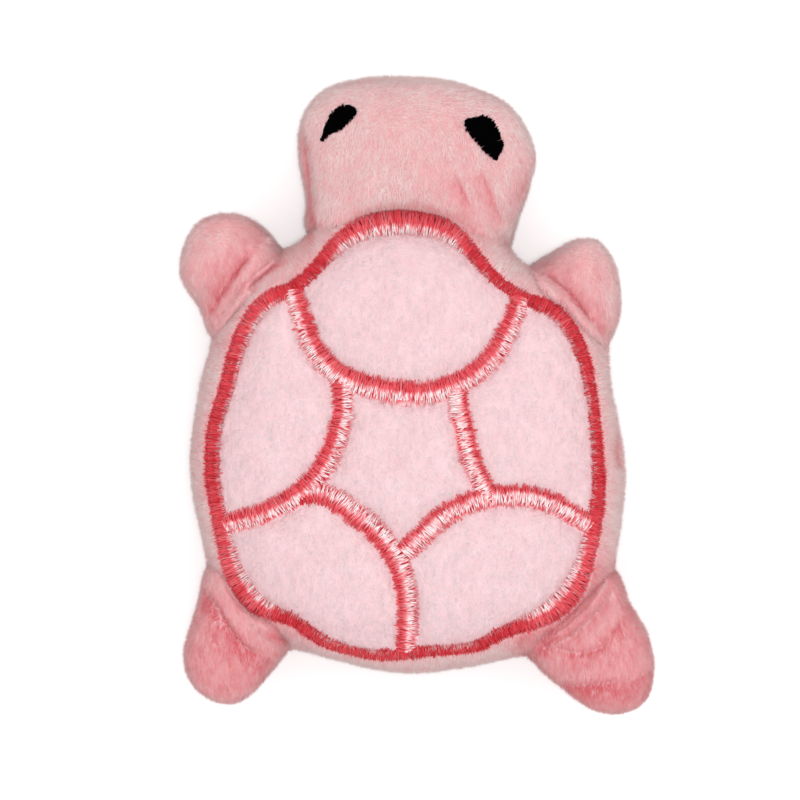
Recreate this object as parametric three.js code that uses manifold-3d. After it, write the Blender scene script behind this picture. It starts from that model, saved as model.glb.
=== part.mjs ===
// Squeaky dog toy: a plush turtle that lies on its belly, in millimetres.
// +Y runs to the head, +Z is up and +X is on the right when the toy is seen from above.
// The origin is on the floor, under the middle of the toy.
import * as THREE from 'three';
import { mergeVertices } from 'three/addons/utils/BufferGeometryUtils.js';
import Module from 'manifold-3d';

const wasm = await Module();
wasm.setup();

// The finished toy, and the size that its paper pattern below is drawn at
const TOY_WIDTH = 104.4;
const TOY_LENGTH = 140;
const PATTERN_WIDTH = 104.4;
const PATTERN_LENGTH = 140;
const WIDTH_GRADE = TOY_WIDTH / PATTERN_WIDTH;
const LENGTH_GRADE = TOY_LENGTH / PATTERN_LENGTH;

// Heights of the stuffed forms, measured from the seam that runs round their sides
const TORSO_RISE = 21;
const TORSO_DROP = 15.5;
const BELLY_FLAT = 0.5; // the belly rests on a flat this deep
const HEAD_RISE = 15;
const HEAD_DROP = 13;
const LEG_RISE = 10;
const LEG_DROP = 11;
const TORSO_FULLNESS = 2.8; // 2 is an ellipse, and more is a fuller, flatter form
const LIMB_FULLNESS = 2.2;
const SEAM_Z = TORSO_DROP - BELLY_FLAT;

// Fabric, seams and stuffing
const FABRIC = 2; // pink plush with its pile pressed down
const SHELL_CLOTH = 2.6; // pale plush and its backing, measured upright
const SEAM_GAP = 0.3; // between the back cloth and the belly cloth
const LAYER_GAP = 0.3; // between one layer and the next
const QUILT_DIP = 1.5; // how far the embroidery draws the shell down
const QUILT_REACH = 6.5; // how far from the embroidery the shell still dips
const STUFFING_SPLIT_DROP = 3; // the springy upper stuffing starts this far below the seam

// Embroidery
const BORDER_BAND = 4.2;
const SCUTE_BAND = 4.2;
const THREAD_RAISE = 0.3; // above the cloth
const THREAD_SINK = 1; // into the cloth

// Motion
const SQUEEZE_TRAVEL = 6; // the shell presses in this far
const FLEX_GAP = 0.4; // between a limb and the torso at the seam
const HEAD_NOD = 15; // degrees each way
const LEG_FLAP = 15;

// Stock squeaker: a blown bulb on its back, with a reed unit plugged into its mouth
const SQUEAKER_LIFT = 5.5; // from the floor to its flange
const BULB_RADIUS = 17;
const BULB_HEIGHT = 20;
const BULB_WALL = 0.8;
const BULB_WAIST_DEPTH = 1.8;
const BULB_CORNER = 4;
const HOUSING_BORE = 3.4;
const HOUSING_WALL = 1.2;
const HOUSING_LENGTH = 9.5;
const FLANGE_OVERHANG = 2.6;
const FLANGE_THICKNESS = 1.2;
const REED_LENGTH = 7;
const REED_WIDTH = 2.8;
const REED_THICKNESS = 0.3;
const REED_SET_IN = 1; // from the mouth of the housing to the reed unit
const AIR_GROOVE_WIDTH = 1.6;
const AIR_GROOVE_DEPTH = 1.2;

// Hand-sewn closing stitch over the gap the toy was turned and stuffed through
const CLOSING_FROM_Y = -7;
const CLOSING_TO_Y = -17;
const CLOSING_THREAD = 0.7;
const CLOSING_HALF_HEIGHT = 1.5;
const CLOSING_STITCHES = 5;

// The paper pattern, seen from above: each outline is a smooth closed curve through its points
const TORSO_OUTLINE = [
  [45.6, -17], [42.8, 0], [40, 13], [31, 22.8], [22, 29.3], [14.5, 37], [5, 42], [-6, 43.3],
  [-16.5, 41], [-25, 33.8], [-33, 28.5], [-41, 20.5], [-45.5, 9], [-48.5, -4], [-49.9, -15],
  [-48.2, -28], [-43, -42], [-34, -52], [-20, -57.5], [-3, -60.8], [15, -58.4], [30, -54],
  [40.5, -44.5], [44.2, -31],
];
const BORDER_LINE = [
  [-3.8, 37.6], [6.5, 36.4], [12.2, 31.9], [17.5, 26.3], [23, 22], [30, 18], [35, 10.9], [37.7, 1],
  [39.6, -14], [39.3, -29], [34.5, -43], [25.5, -48.6], [12, -53.8], [-3, -55.8], [-17, -54.7],
  [-26, -49.2], [-35, -44.2], [-41.3, -32], [-44.8, -16], [-43.6, 0], [-39.2, 13], [-33.4, 21],
  [-27, 24], [-22.5, 28], [-18.5, 33.2], [-13, 36.4],
];
const HEAD_OUTLINE = [
  [24.8, 46], [25.8, 54], [21, 63], [12, 67.6], [1, 70], [-11, 69.8], [-20.4, 67], [-25.4, 60.5],
  [-26.5, 51.5], [-25, 42], [-24.6, 36], [-18, 33.5], [-3, 34], [12, 31.5], [19, 31], [22.3, 38.5],
];

// A limb has its outline, its middle, the point where it bends and the way that it points
const LIMBS = [
  {
    name: 'front_left_leg',
    outline: [
      [-30, 32.4], [-34.5, 37.8], [-41.5, 40.3], [-48.6, 38], [-52, 31.5], [-52, 25], [-48, 19],
      [-44.5, 13], [-37.5, 14.5], [-30, 20.5], [-27.5, 27],
    ],
    middle: [-41, 28],
    bendAt: [-37, 25],
    heading: 141,
  },
  {
    name: 'front_right_leg',
    outline: [
      [43.9, 16], [44.7, 23], [43.2, 29.6], [39.6, 34.3], [35.2, 34.9], [29.5, 31.8], [24.5, 27.5],
      [22.5, 21.5], [29, 15.5], [38, 9.5],
    ],
    middle: [35.5, 24],
    bendAt: [34.5, 19.5],
    heading: 50,
  },
  {
    name: 'rear_left_leg',
    outline: [
      [-47, -38], [-49.6, -47], [-51.6, -56], [-50.4, -62.5], [-46, -66.9], [-39.5, -67.7],
      [-33.8, -63.6], [-28.5, -55.8], [-26.5, -48], [-33, -41.5], [-40.5, -34.5],
    ],
    middle: [-41, -54],
    bendAt: [-38, -48],
    heading: 238,
  },
  {
    name: 'rear_right_leg',
    outline: [
      [43.3, -37], [46.9, -45], [50.6, -52], [52, -60], [50.2, -67], [45, -70], [38.6, -69.2],
      [32, -65], [25.5, -58.5], [22.5, -51.5], [28.5, -45], [37, -38.5],
    ],
    middle: [42, -57],
    bendAt: [35.5, -47.5],
    heading: 310,
  },
];
const HEAD_MIDDLE = [0, 52];
const HEAD_BENDS_AT = [0, 38];
const HEAD_HEADING = 90;
const TORSO_MIDDLE = [-2, -12]; // the squeaker lies under it

// Embroidered lines between the scutes, each an open curve
const SCUTE_LINES = {
  neck_scute_stitch: [[-27.5, 24.5], [-22.2, 10], [-16, 4], [-2, 0.4], [7.5, 2], [16.5, 8.5], [23, 22.5]],
  left_scute_stitch: [[-16.4, 4.4], [-16.8, -5], [-22, -17], [-31, -23.3], [-43.3, -28.3]],
  right_scute_stitch: [[8.3, 2.2], [9.4, -4.6], [12, -15], [16, -22.5]],
  rear_right_scute_stitch: [[39.6, -29.5], [28, -23], [17.5, -21.8], [7.5, -25], [-3, -34]],
  rear_left_scute_stitch: [[-21.5, -16.5], [-15, -24.5], [-8, -30.3], [-3.8, -37], [-2.2, -46], [-2.6, -55.6]],
};
const EYES = {
  left_eye: [[-20.8, 55.8], [-17, 58], [-13.6, 61.8], [-15.4, 63.2], [-18.8, 61.2]],
  right_eye: [[10.7, 60], [11.9, 56.8], [15.4, 53], [17.2, 52], [18.4, 55], [17.2, 58.8], [14.4, 61.1]],
};

// How finely the curved forms are faceted
const TORSO_FACETS = { around: 44, up: 9, down: 5 };
const TORSO_LINING_FACETS = { around: 30, up: 5, down: 4 };
const HEAD_FACETS = { around: 26, up: 5, down: 4 };
const LEG_FACETS = { around: 20, up: 4, down: 4 };
const LIMB_LINING_FACETS = { around: 14, up: 3, down: 3 };
const BORDER_POINTS = 44;
const SCUTE_POINTS = 9;
const EYE_POINTS = 12;
const BEND_STEPS = 2;
const TURNED_FACETS = 20;
const OUT_OF_REACH = 200; // the size of a block that reaches past the whole toy

const COLOURS = {
  plush: 0xdf9aa0,
  shellPlush: 0xf3d2d7,
  thread: 0xc94f58,
  blackThread: 0x0d0b0c,
  stuffing: 0xf2efe9,
  bulb: 0xe9e7e0,
  plastic: 0xf4f2ec,
  reed: 0xb9b4a8,
};

// Turns a closed three.js geometry into a solid that can be cut
function solidOf(geometry) {
  geometry.deleteAttribute('normal');
  geometry.deleteAttribute('uv');
  const merged = mergeVertices(geometry, 1e-5);
  const corners = merged.index.array;
  const kept = [];
  for (let i = 0; i < corners.length; i += 3) {
    const [a, b, c] = [corners[i], corners[i + 1], corners[i + 2]];
    if (a !== b && b !== c && c !== a) kept.push(a, b, c);
  }
  const mesh = new wasm.Mesh({
    numProp: 3,
    vertProperties: new Float32Array(merged.attributes.position.array),
    triVerts: new Uint32Array(kept),
  });
  return new wasm.Manifold(mesh);
}

// The main body of a cut solid, without the crumbs that a cut can leave
function mainBody(solid) {
  const bodies = solid.decompose();
  return bodies.reduce((best, body) => (body.volume() > best.volume() ? body : best));
}

function meshOf(name, solid, colour, roughness) {
  const { vertProperties, triVerts, numProp } = mainBody(solid).getMesh();
  const positions = new Float32Array((vertProperties.length / numProp) * 3);
  for (let i = 0; i < positions.length / 3; i += 1) {
    for (let axis = 0; axis < 3; axis += 1) positions[3 * i + axis] = vertProperties[numProp * i + axis];
  }
  const geometry = new THREE.BufferGeometry();
  geometry.setAttribute('position', new THREE.BufferAttribute(positions, 3));
  geometry.setIndex(new THREE.BufferAttribute(new Uint32Array(triVerts), 1));
  geometry.computeVertexNormals();
  const material = new THREE.MeshStandardMaterial({ color: colour, roughness, metalness: 0 });
  const mesh = new THREE.Mesh(geometry, material);
  mesh.name = name;
  return mesh;
}

function vectors(points) {
  return points.map(([x, y]) => new THREE.Vector2(x, y));
}

// A point of the paper pattern at the size of the finished toy
function graded([x, y]) {
  return [x * WIDTH_GRADE, y * LENGTH_GRADE];
}

// Evenly spaced points on the smooth curve through the given ones of the pattern
function smooth(points, count, closed) {
  const through = points.map((point) => new THREE.Vector3(...graded(point), 0));
  const curve = new THREE.CatmullRomCurve3(through, closed, 'centripetal');
  const spaced = curve.getSpacedPoints(closed ? count : count - 1);
  if (closed) spaced.pop();
  return spaced.map((point) => [point.x, point.y]);
}

// Moves each point of a counterclockwise outline, or of an open line, to its right by the distance
function offset(points, distance, closed) {
  const last = points.length - 1;
  return points.map(([x, y], i) => {
    const before = points[closed ? (i + last) % points.length : Math.max(i - 1, 0)];
    const after = points[closed ? (i + 1) % points.length : Math.min(i + 1, last)];
    const along = new THREE.Vector2(after[0] - before[0], after[1] - before[1]).normalize();
    return [x + distance * along.y, y - distance * along.x];
  });
}

// A counterclockwise copy of a closed outline
function counterclockwise(points) {
  return THREE.ShapeUtils.area(vectors(points)) > 0 ? points : [...points].reverse();
}

// Distance from a point to the nearest of several polylines
function distanceToLines(x, y, lines) {
  let nearest = Infinity;
  for (const line of lines) {
    for (let i = 0; i + 1 < line.length; i += 1) {
      const [ax, ay] = line[i];
      const [bx, by] = line[i + 1];
      const along = ((x - ax) * (bx - ax) + (y - ay) * (by - ay)) / ((bx - ax) ** 2 + (by - ay) ** 2);
      const t = THREE.MathUtils.clamp(along, 0, 1);
      nearest = Math.min(nearest, Math.hypot(x - ax - t * (bx - ax), y - ay - t * (by - ay)));
    }
  }
  return nearest;
}

// A stuffed form: swells from its seam to a rise above and a drop below, over a star-shaped outline
function pillow({ outline, middle, rise, drop, fullness, facets, grow = 0, growUp = grow, dip = () => 0 }) {
  const rim = offset(counterclockwise(smooth(outline, facets.around, true)), grow, true);
  const power = 2 / fullness;
  const positions = [];
  const indices = [];
  const ring = (turn, height, side) => {
    const reach = Math.sin(turn) ** power;
    const lift = Math.max(Math.cos(turn), 0) ** power;
    for (const [x, y] of rim) {
      const px = middle[0] + reach * (x - middle[0]);
      const py = middle[1] + reach * (y - middle[1]);
      const drawn = side > 0 ? dip(px, py) : 0;
      positions.push(px, py, SEAM_Z + side * (height * lift - drawn * Math.min(1, 4 * (1 - reach))));
    }
  };
  const apex = (height, side) => {
    const drawn = side > 0 ? dip(...middle) : 0;
    positions.push(middle[0], middle[1], SEAM_Z + side * (height - drawn));
  };
  const quarter = Math.PI / 2;
  apex(rise + growUp, 1);
  for (let j = 1; j < facets.up; j += 1) ring((quarter * j) / facets.up, rise + growUp, 1);
  ring(quarter, rise + growUp, 1);
  for (let j = facets.down - 1; j > 0; j -= 1) ring((quarter * j) / facets.down, drop + grow, -1);
  apex(drop + grow, -1);
  const around = rim.length;
  const rings = facets.up + facets.down - 1;
  const bottom = 1 + rings * around;
  for (let i = 0; i < around; i += 1) {
    const next = (i + 1) % around;
    indices.push(0, 1 + i, 1 + next);
    for (let j = 0; j + 1 < rings; j += 1) {
      const [a, b] = [1 + j * around + i, 1 + j * around + next];
      indices.push(a, a + around, b + around, a, b + around, b);
    }
    const lastRing = 1 + (rings - 1) * around;
    indices.push(lastRing + i, bottom, lastRing + next);
  }
  const geometry = new THREE.BufferGeometry();
  geometry.setAttribute('position', new THREE.Float32BufferAttribute(positions, 3));
  geometry.setIndex(indices);
  return solidOf(geometry);
}

// An upright prism over an outline, tall enough to pass through the whole toy
function prism(outline) {
  const shape = new THREE.Shape(vectors(counterclockwise(outline)));
  const geometry = new THREE.ExtrudeGeometry(shape, { depth: OUT_OF_REACH, bevelEnabled: false, steps: 1 });
  geometry.translate(0, 0, -OUT_OF_REACH / 2);
  return solidOf(geometry);
}

// Everything above, or below, a level
function above(z) {
  const geometry = new THREE.BoxGeometry(OUT_OF_REACH, OUT_OF_REACH, OUT_OF_REACH);
  geometry.translate(0, 0, z + OUT_OF_REACH / 2);
  return solidOf(geometry);
}

function below(z) {
  return above(z).translate([0, 0, -OUT_OF_REACH]);
}

// The prism over a band of thread that is sewn along a line
function bandAlong(line, width, closed) {
  const right = offset(line, width / 2, closed);
  const left = offset(line, -width / 2, closed);
  if (closed) return prism(right).subtract(prism(left));
  return prism([...right, ...left.reverse()]);
}

// A layer of thread over an area: it stands on the cloth and sinks into it
function threadLayer(area, form) {
  return area.intersect(form.translate([0, 0, THREAD_RAISE])).subtract(form.translate([0, 0, -THREAD_SINK]));
}

// The room that a layer of thread needs in the cloth
function threadBed(area, form) {
  return area.subtract(form.translate([0, 0, -THREAD_SINK - LAYER_GAP]));
}

// The space that a solid sweeps, seen from a limb that bends both ways about its hinge
function sweptPast(solid, [x, y], heading, degrees) {
  const turn = THREE.MathUtils.degToRad(heading + 90);
  const axis = new THREE.Vector3(Math.cos(turn), Math.sin(turn), 0);
  let swept = solid;
  for (let step = 1; step <= BEND_STEPS; step += 1) {
    for (const side of [-1, 1]) {
      const angle = THREE.MathUtils.degToRad((side * degrees * step) / BEND_STEPS);
      const matrix = new THREE.Matrix4().makeTranslation(x, y, SEAM_Z);
      matrix.multiply(new THREE.Matrix4().makeRotationAxis(axis, angle));
      matrix.multiply(new THREE.Matrix4().makeTranslation(-x, -y, -SEAM_Z));
      swept = swept.add(solid.transform([...matrix.elements]));
    }
  }
  return swept;
}

// Torso: its outer form, the hollow in its cloth, and its stuffing
const torsoForm = { outline: TORSO_OUTLINE, middle: graded(TORSO_MIDDLE), rise: TORSO_RISE, drop: TORSO_DROP };
torsoForm.fullness = TORSO_FULLNESS;
const borderLine = counterclockwise(smooth(BORDER_LINE, BORDER_POINTS, true));
const scuteLines = Object.entries(SCUTE_LINES).map(([name, line]) => [name, smooth(line, SCUTE_POINTS, false)]);
const sewnLines = [[...borderLine, borderLine[0]], ...scuteLines.map(([, line]) => line)];
const quiltDip = (x, y) => QUILT_DIP * Math.exp(-((distanceToLines(x, y, sewnLines) / QUILT_REACH) ** 2));

const torsoOuter = pillow({ ...torsoForm, facets: TORSO_FACETS, dip: quiltDip });
const torsoHollow = pillow({ ...torsoForm, facets: TORSO_LINING_FACETS, grow: -FABRIC });
const torsoStuffing = pillow({
  ...torsoForm,
  facets: TORSO_LINING_FACETS,
  grow: -FABRIC - LAYER_GAP,
  growUp: -SHELL_CLOTH - QUILT_DIP - LAYER_GAP,
});
const torsoReach = pillow({
  ...torsoForm, facets: TORSO_FACETS, grow: FLEX_GAP, growUp: FLEX_GAP + THREAD_RAISE,
});

const crownArea = prism(offset(borderLine, BORDER_BAND / 2, true));
const crownOpening = prism(offset(borderLine, BORDER_BAND / 2 + LAYER_GAP, true));
// The room that the shell needs when it is pressed in
const pressRoom = crownOpening
  .intersect(above(SEAM_Z - SQUEEZE_TRAVEL))
  .subtract(torsoOuter.translate([0, 0, -SHELL_CLOTH - SQUEEZE_TRAVEL - LAYER_GAP]));
const aboveSeam = above(SEAM_Z + SEAM_GAP / 2);
const belowSeam = below(SEAM_Z - SEAM_GAP / 2);

function makeTorso() {
  const cloth = torsoOuter.subtract(torsoHollow);
  const backPanel = cloth.intersect(aboveSeam).subtract(crownOpening);
  const bellyPanel = cloth.intersect(belowSeam).intersect(above(0)).subtract(pressRoom);
  return [
    meshOf('torso_back_panel', backPanel, COLOURS.plush, 0.95),
    meshOf('torso_belly_panel', bellyPanel, COLOURS.plush, 0.95),
  ];
}

// The shell: one quilted panel, with bands of satin stitch sunk into it
function makeShell() {
  const borderWide = bandAlong(borderLine, BORDER_BAND + 2 * LAYER_GAP, true);
  let panel = torsoOuter.intersect(crownArea).subtract(torsoOuter.translate([0, 0, -SHELL_CLOTH]));
  panel = panel.intersect(aboveSeam);
  panel = panel.subtract(threadBed(borderWide, torsoOuter));
  const border = threadLayer(bandAlong(borderLine, BORDER_BAND, true), torsoOuter);
  const meshes = [meshOf('border_stitch', border.intersect(aboveSeam), COLOURS.thread, 0.45)];
  let taken = borderWide;
  for (const [name, line] of scuteLines) {
    const inside = bandAlong(line, SCUTE_BAND, false).intersect(crownArea).subtract(taken);
    const wide = bandAlong(line, SCUTE_BAND + 2 * LAYER_GAP, false);
    panel = panel.subtract(threadBed(wide.intersect(crownArea), torsoOuter));
    meshes.push(meshOf(name, threadLayer(inside, torsoOuter).intersect(aboveSeam), COLOURS.thread, 0.45));
    taken = taken.add(wide);
  }
  return [meshOf('shell_panel', panel, COLOURS.shellPlush, 0.95), ...meshes];
}

// A head or leg: two cloth panels round its stuffing, hollowed where it bends against the torso
function makeLimb(limb, facets, rise, drop, bend, trims = {}) {
  const form = { outline: limb.outline, middle: graded(limb.middle), rise, drop, fullness: LIMB_FULLNESS };
  const outer = pillow({ ...form, facets });
  const hollow = pillow({ ...form, facets: LIMB_LINING_FACETS, grow: -FABRIC });
  const stuffing = pillow({ ...form, facets: LIMB_LINING_FACETS, grow: -FABRIC - LAYER_GAP });
  const relief = sweptPast(torsoReach, graded(limb.bendAt), limb.heading, bend);
  const cloth = outer.subtract(hollow).subtract(relief);
  let top = cloth.intersect(aboveSeam);
  const meshes = [];
  for (const [name, points] of Object.entries(trims)) {
    const edge = counterclockwise(smooth(points, EYE_POINTS, true));
    const area = prism(edge);
    top = top.subtract(threadBed(prism(offset(edge, LAYER_GAP, true)), outer).intersect(aboveSeam));
    meshes.push(meshOf(name, threadLayer(area, outer), COLOURS.blackThread, 0.4));
  }
  return [
    meshOf(`${limb.name}_top_panel`, top, COLOURS.plush, 0.95),
    meshOf(`${limb.name}_under_panel`, cloth.intersect(belowSeam), COLOURS.plush, 0.95),
    meshOf(`${limb.name}_stuffing`, stuffing.subtract(relief), COLOURS.stuffing, 1),
    ...meshes,
  ];
}

// Squeaker sizes that follow from the ones above
const HOUSING_RADIUS = HOUSING_BORE + HOUSING_WALL;
const BULB_BASE_Z = FLANGE_THICKNESS + LAYER_GAP;
const MOUTH_RADIUS = HOUSING_RADIUS + LAYER_GAP;

function turned(profile) {
  return solidOf(new THREE.LatheGeometry(vectors(profile), TURNED_FACETS)).rotate([90, 0, 0]);
}

// The bulb's outline in its radius and height, inset by a wall: flat ends, round corners and a waist
function bulbProfile(inset, mouth) {
  const radius = BULB_RADIUS - inset;
  const [low, high] = [inset, BULB_HEIGHT - inset];
  const corner = BULB_CORNER - inset / 2;
  const waist = radius - BULB_WAIST_DEPTH;
  const corners = [];
  for (const turn of [0, 45, 90]) {
    const angle = THREE.MathUtils.degToRad(turn);
    corners.push([radius - corner + corner * Math.sin(angle), corner * (1 - Math.cos(angle))]);
  }
  const upper = [...corners].reverse().map(([r, z]) => [r, high - z]);
  return [[mouth, low], ...corners.map(([r, z]) => [r, low + z]), [waist, BULB_HEIGHT / 2], ...upper, [0, high]];
}

function squeakerFrame(solid) {
  return solid.translate([...graded(TORSO_MIDDLE), SQUEAKER_LIFT]);
}

// All that the squeaker fills, with the clearance that the stuffing keeps to it
function squeakerPocket() {
  const radius = BULB_RADIUS + LAYER_GAP;
  const top = BULB_BASE_Z + BULB_HEIGHT + LAYER_GAP;
  return squeakerFrame(turned([[0, -LAYER_GAP], [radius, -LAYER_GAP], [radius, top], [0, top]]));
}

function makeSqueaker() {
  const outside = bulbProfile(0, MOUTH_RADIUS);
  const bulb = turned([...outside, ...bulbProfile(BULB_WALL, MOUTH_RADIUS).reverse(), outside[0]]);
  const flange = HOUSING_RADIUS + FLANGE_OVERHANG;
  const housing = turned([
    [HOUSING_BORE, 0], [flange, 0], [flange, FLANGE_THICKNESS], [HOUSING_RADIUS, FLANGE_THICKNESS],
    [HOUSING_RADIUS, HOUSING_LENGTH], [HOUSING_BORE, HOUSING_LENGTH], [HOUSING_BORE, 0],
  ]);
  const blockRadius = HOUSING_BORE - LAYER_GAP;
  const blockTop = REED_SET_IN + REED_LENGTH;
  const block = turned([[0, REED_SET_IN], [blockRadius, REED_SET_IN], [blockRadius, blockTop], [0, blockTop]]);
  const half = new THREE.BoxGeometry(OUT_OF_REACH, OUT_OF_REACH, OUT_OF_REACH);
  half.translate(OUT_OF_REACH / 2, 0, 0);
  const groove = new THREE.BoxGeometry(2 * AIR_GROOVE_DEPTH, AIR_GROOVE_WIDTH, OUT_OF_REACH);
  const reedBlock = block.subtract(solidOf(half)).subtract(solidOf(groove));
  const strip = new THREE.BoxGeometry(REED_THICKNESS, REED_WIDTH, REED_LENGTH);
  strip.translate(LAYER_GAP + REED_THICKNESS / 2, 0, REED_SET_IN + REED_LENGTH / 2);
  return [
    meshOf('squeaker_bulb', squeakerFrame(bulb.translate([0, 0, BULB_BASE_Z])), COLOURS.bulb, 0.35),
    meshOf('squeaker_housing', squeakerFrame(housing), COLOURS.plastic, 0.4),
    meshOf('squeaker_reed_block', squeakerFrame(reedBlock), COLOURS.plastic, 0.4),
    meshOf('squeaker_reed', squeakerFrame(solidOf(strip)), COLOURS.reed, 0.3),
  ];
}

// Stuffing: a firm lower part and a springy upper part, round the squeaker's pocket
function makeTorsoStuffing() {
  const stuffed = torsoStuffing.subtract(squeakerPocket());
  const splitZ = SEAM_Z - STUFFING_SPLIT_DROP;
  return [
    meshOf('torso_lower_stuffing', stuffed.intersect(below(splitZ)).subtract(pressRoom), COLOURS.stuffing, 1),
    meshOf('torso_upper_stuffing', stuffed.intersect(above(splitZ + LAYER_GAP)), COLOURS.stuffing, 1),
  ];
}

// The closing stitch runs up and down across the seam, on the torso's right side
function makeClosingStitch() {
  const radius = CLOSING_THREAD / 2;
  const side = offset(counterclockwise(smooth(TORSO_OUTLINE, 200, true)), LAYER_GAP + radius, true);
  const rightSide = side.filter(([x]) => x > 0);
  const points = [];
  for (let i = 0; i <= 2 * CLOSING_STITCHES; i += 1) {
    const [, y] = graded([0, THREE.MathUtils.lerp(CLOSING_FROM_Y, CLOSING_TO_Y, i / (2 * CLOSING_STITCHES))]);
    const nearest = rightSide.reduce((best, p) => (Math.abs(p[1] - y) < Math.abs(best[1] - y) ? p : best));
    points.push(new THREE.Vector3(nearest[0], y, SEAM_Z + (i % 2 ? 1 : -1) * CLOSING_HALF_HEIGHT));
  }
  const section = new THREE.Shape();
  section.absarc(0, 0, radius, 0, 2 * Math.PI);
  const geometry = new THREE.ExtrudeGeometry(section, {
    extrudePath: new THREE.CatmullRomCurve3(points, false, 'centripetal'),
    steps: 4 * CLOSING_STITCHES,
    curveSegments: 3,
  });
  return meshOf('closing_stitch', solidOf(geometry), COLOURS.plush, 0.6);
}

const head = { name: 'head', outline: HEAD_OUTLINE, middle: HEAD_MIDDLE, bendAt: HEAD_BENDS_AT };
head.heading = HEAD_HEADING;

const group = new THREE.Group();
group.add(...makeTorso());
group.add(...makeShell());
group.add(...makeTorsoStuffing());
group.add(...makeSqueaker());
group.add(...makeLimb(head, HEAD_FACETS, HEAD_RISE, HEAD_DROP, HEAD_NOD, EYES));
for (const leg of LIMBS) group.add(...makeLimb(leg, LEG_FACETS, LEG_RISE, LEG_DROP, LEG_FLAP));
group.add(makeClosingStitch());

export default group;
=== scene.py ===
import logging
import math
from dataclasses import dataclass, field
from enum import Enum
from typing import Callable, Sequence

import bpy
import numpy as np
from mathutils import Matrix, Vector


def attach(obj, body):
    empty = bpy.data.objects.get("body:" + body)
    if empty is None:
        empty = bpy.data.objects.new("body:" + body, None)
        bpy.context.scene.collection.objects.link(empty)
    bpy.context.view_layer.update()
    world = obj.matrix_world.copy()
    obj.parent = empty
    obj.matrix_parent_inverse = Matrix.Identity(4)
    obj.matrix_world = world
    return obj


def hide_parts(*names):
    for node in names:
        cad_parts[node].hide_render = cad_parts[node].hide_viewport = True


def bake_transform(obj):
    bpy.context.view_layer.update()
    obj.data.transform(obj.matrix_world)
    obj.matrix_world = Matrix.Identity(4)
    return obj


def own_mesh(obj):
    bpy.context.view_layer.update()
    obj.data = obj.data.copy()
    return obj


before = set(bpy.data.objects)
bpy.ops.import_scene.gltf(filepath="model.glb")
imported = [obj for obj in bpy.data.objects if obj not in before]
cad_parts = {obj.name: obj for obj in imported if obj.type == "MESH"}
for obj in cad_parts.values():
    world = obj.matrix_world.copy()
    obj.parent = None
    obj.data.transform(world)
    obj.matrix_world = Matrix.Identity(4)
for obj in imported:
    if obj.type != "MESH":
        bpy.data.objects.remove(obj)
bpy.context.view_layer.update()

LOG = logging.getLogger("plush_turtle")
MM = 0.001
UV_NAME = "OFBake"  # the map of the fibres and the threads, which their materials read
SEED = 7
SWELLS = np.random.default_rng(SEED).uniform(-1, 1, (40, 40, 40))

# Levels in millimetres: the seam round the sides, and how far the cloth lies under its pile
SEAM_Z = 15.0
PINK_NAP = 0.75
PALE_NAP = 0.5

# The stuffing's pressure on the cloth, and how many frames it swells for
STUFFING_PRESSURE = 4.0
SWELL_FRAMES = 20

# Fibres for each square millimetre of cloth: fewer where the blades are large or little is seen
SHELL_FIBRES = 34.0
LIMB_FIBRES = 24.0
LIMB_UNDERSIDE_FIBRES = 14.0
TORSO_FIBRES = 20.0
BELLY_FIBRES = 12.0
MOST_FIBRES = 40  # on one triangle of a cloth

# Below these levels the sparser pile of the underside grows, on the torso and on the limbs
BELLY_TOP = 4.0
LIMB_UNDERSIDE_TOP = 8.0

# No pile grows deeper than this inside a neighbour, or further than this under the border's edge
HIDDEN_DEPTH = 3.6
UNDER_BORDER = 0.25

Points = Sequence[tuple[float, ...]]

# The paper pattern: smooth closed curves through these points, in millimetres. The satin stitch and the
# roots of the rear legs follow the toy a little more closely than the solids do.
TORSO_OUTLINE: Points = (
    (45.6, -17), (42.8, 0), (40, 13), (31, 22.8), (22, 29.3), (14.5, 37), (5, 42), (-6, 43.3),
    (-16.5, 41), (-25, 33.8), (-33, 28.5), (-41, 20.5), (-45.5, 9), (-48.5, -4), (-49.9, -15),
    (-48.2, -28), (-43, -42), (-34, -52), (-20, -57.5), (-3, -60.8), (15, -58.4), (30, -54),
    (40.5, -44.5), (44.2, -31),
)
# The third number is how wide the satin stitch is there, seen from above
BORDER_LINE: Points = (
    (-3.8, 37.7, 5.6), (6.2, 35.7, 4.8), (11.6, 31.2, 3.3), (16.7, 25.4, 2.5), (22.6, 21.4, 2.5),
    (30, 18, 3.4), (35, 10.9, 3.1), (37.6, 1, 2.6), (39, -11.1, 2.5), (39.3, -17.4, 2.8),
    (39, -24.4, 3.2), (37.7, -30.7, 3.6), (36.4, -35.6, 4.1), (34.4, -40.7, 5), (31.4, -45, 5.2),
    (26.5, -48.4, 4.4), (21.5, -50.3, 3.2), (17, -52.2, 2.8), (13.2, -54.4, 2.5), (8.8, -55.2, 2.2),
    (2, -55.6, 2.5), (-7.7, -56.6, 2.4), (-15.3, -55.2, 2.4), (-20.3, -53.6, 2.6), (-23.5, -51.3, 3),
    (-26.7, -48.9, 2.8), (-30.5, -47.6, 3.3), (-35.2, -45.2, 4.8), (-39.3, -39.6, 4.6),
    (-41.5, -33.2, 3.9), (-43.1, -26.3, 3.5), (-44.5, -17.4, 3.3), (-44, -7, 3.3), (-41.4, 1.6, 3.4),
    (-38.2, 12.5, 3.7), (-32.9, 20.4, 3.6), (-26.7, 23.5, 3), (-22, 27.5, 2.9), (-17.7, 32.3, 3.8),
    (-12.7, 35.8, 5),
)
HEAD_OUTLINE: Points = (
    (24.8, 46), (25.8, 54), (21, 63), (12, 67.6), (1, 70), (-11, 69.8), (-20.4, 67), (-25.4, 60.5),
    (-26.5, 51.5), (-25, 42), (-24.6, 36), (-18, 33.5), (-3, 34), (12, 31.5), (19, 31), (22.3, 38.5),
)
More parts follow.
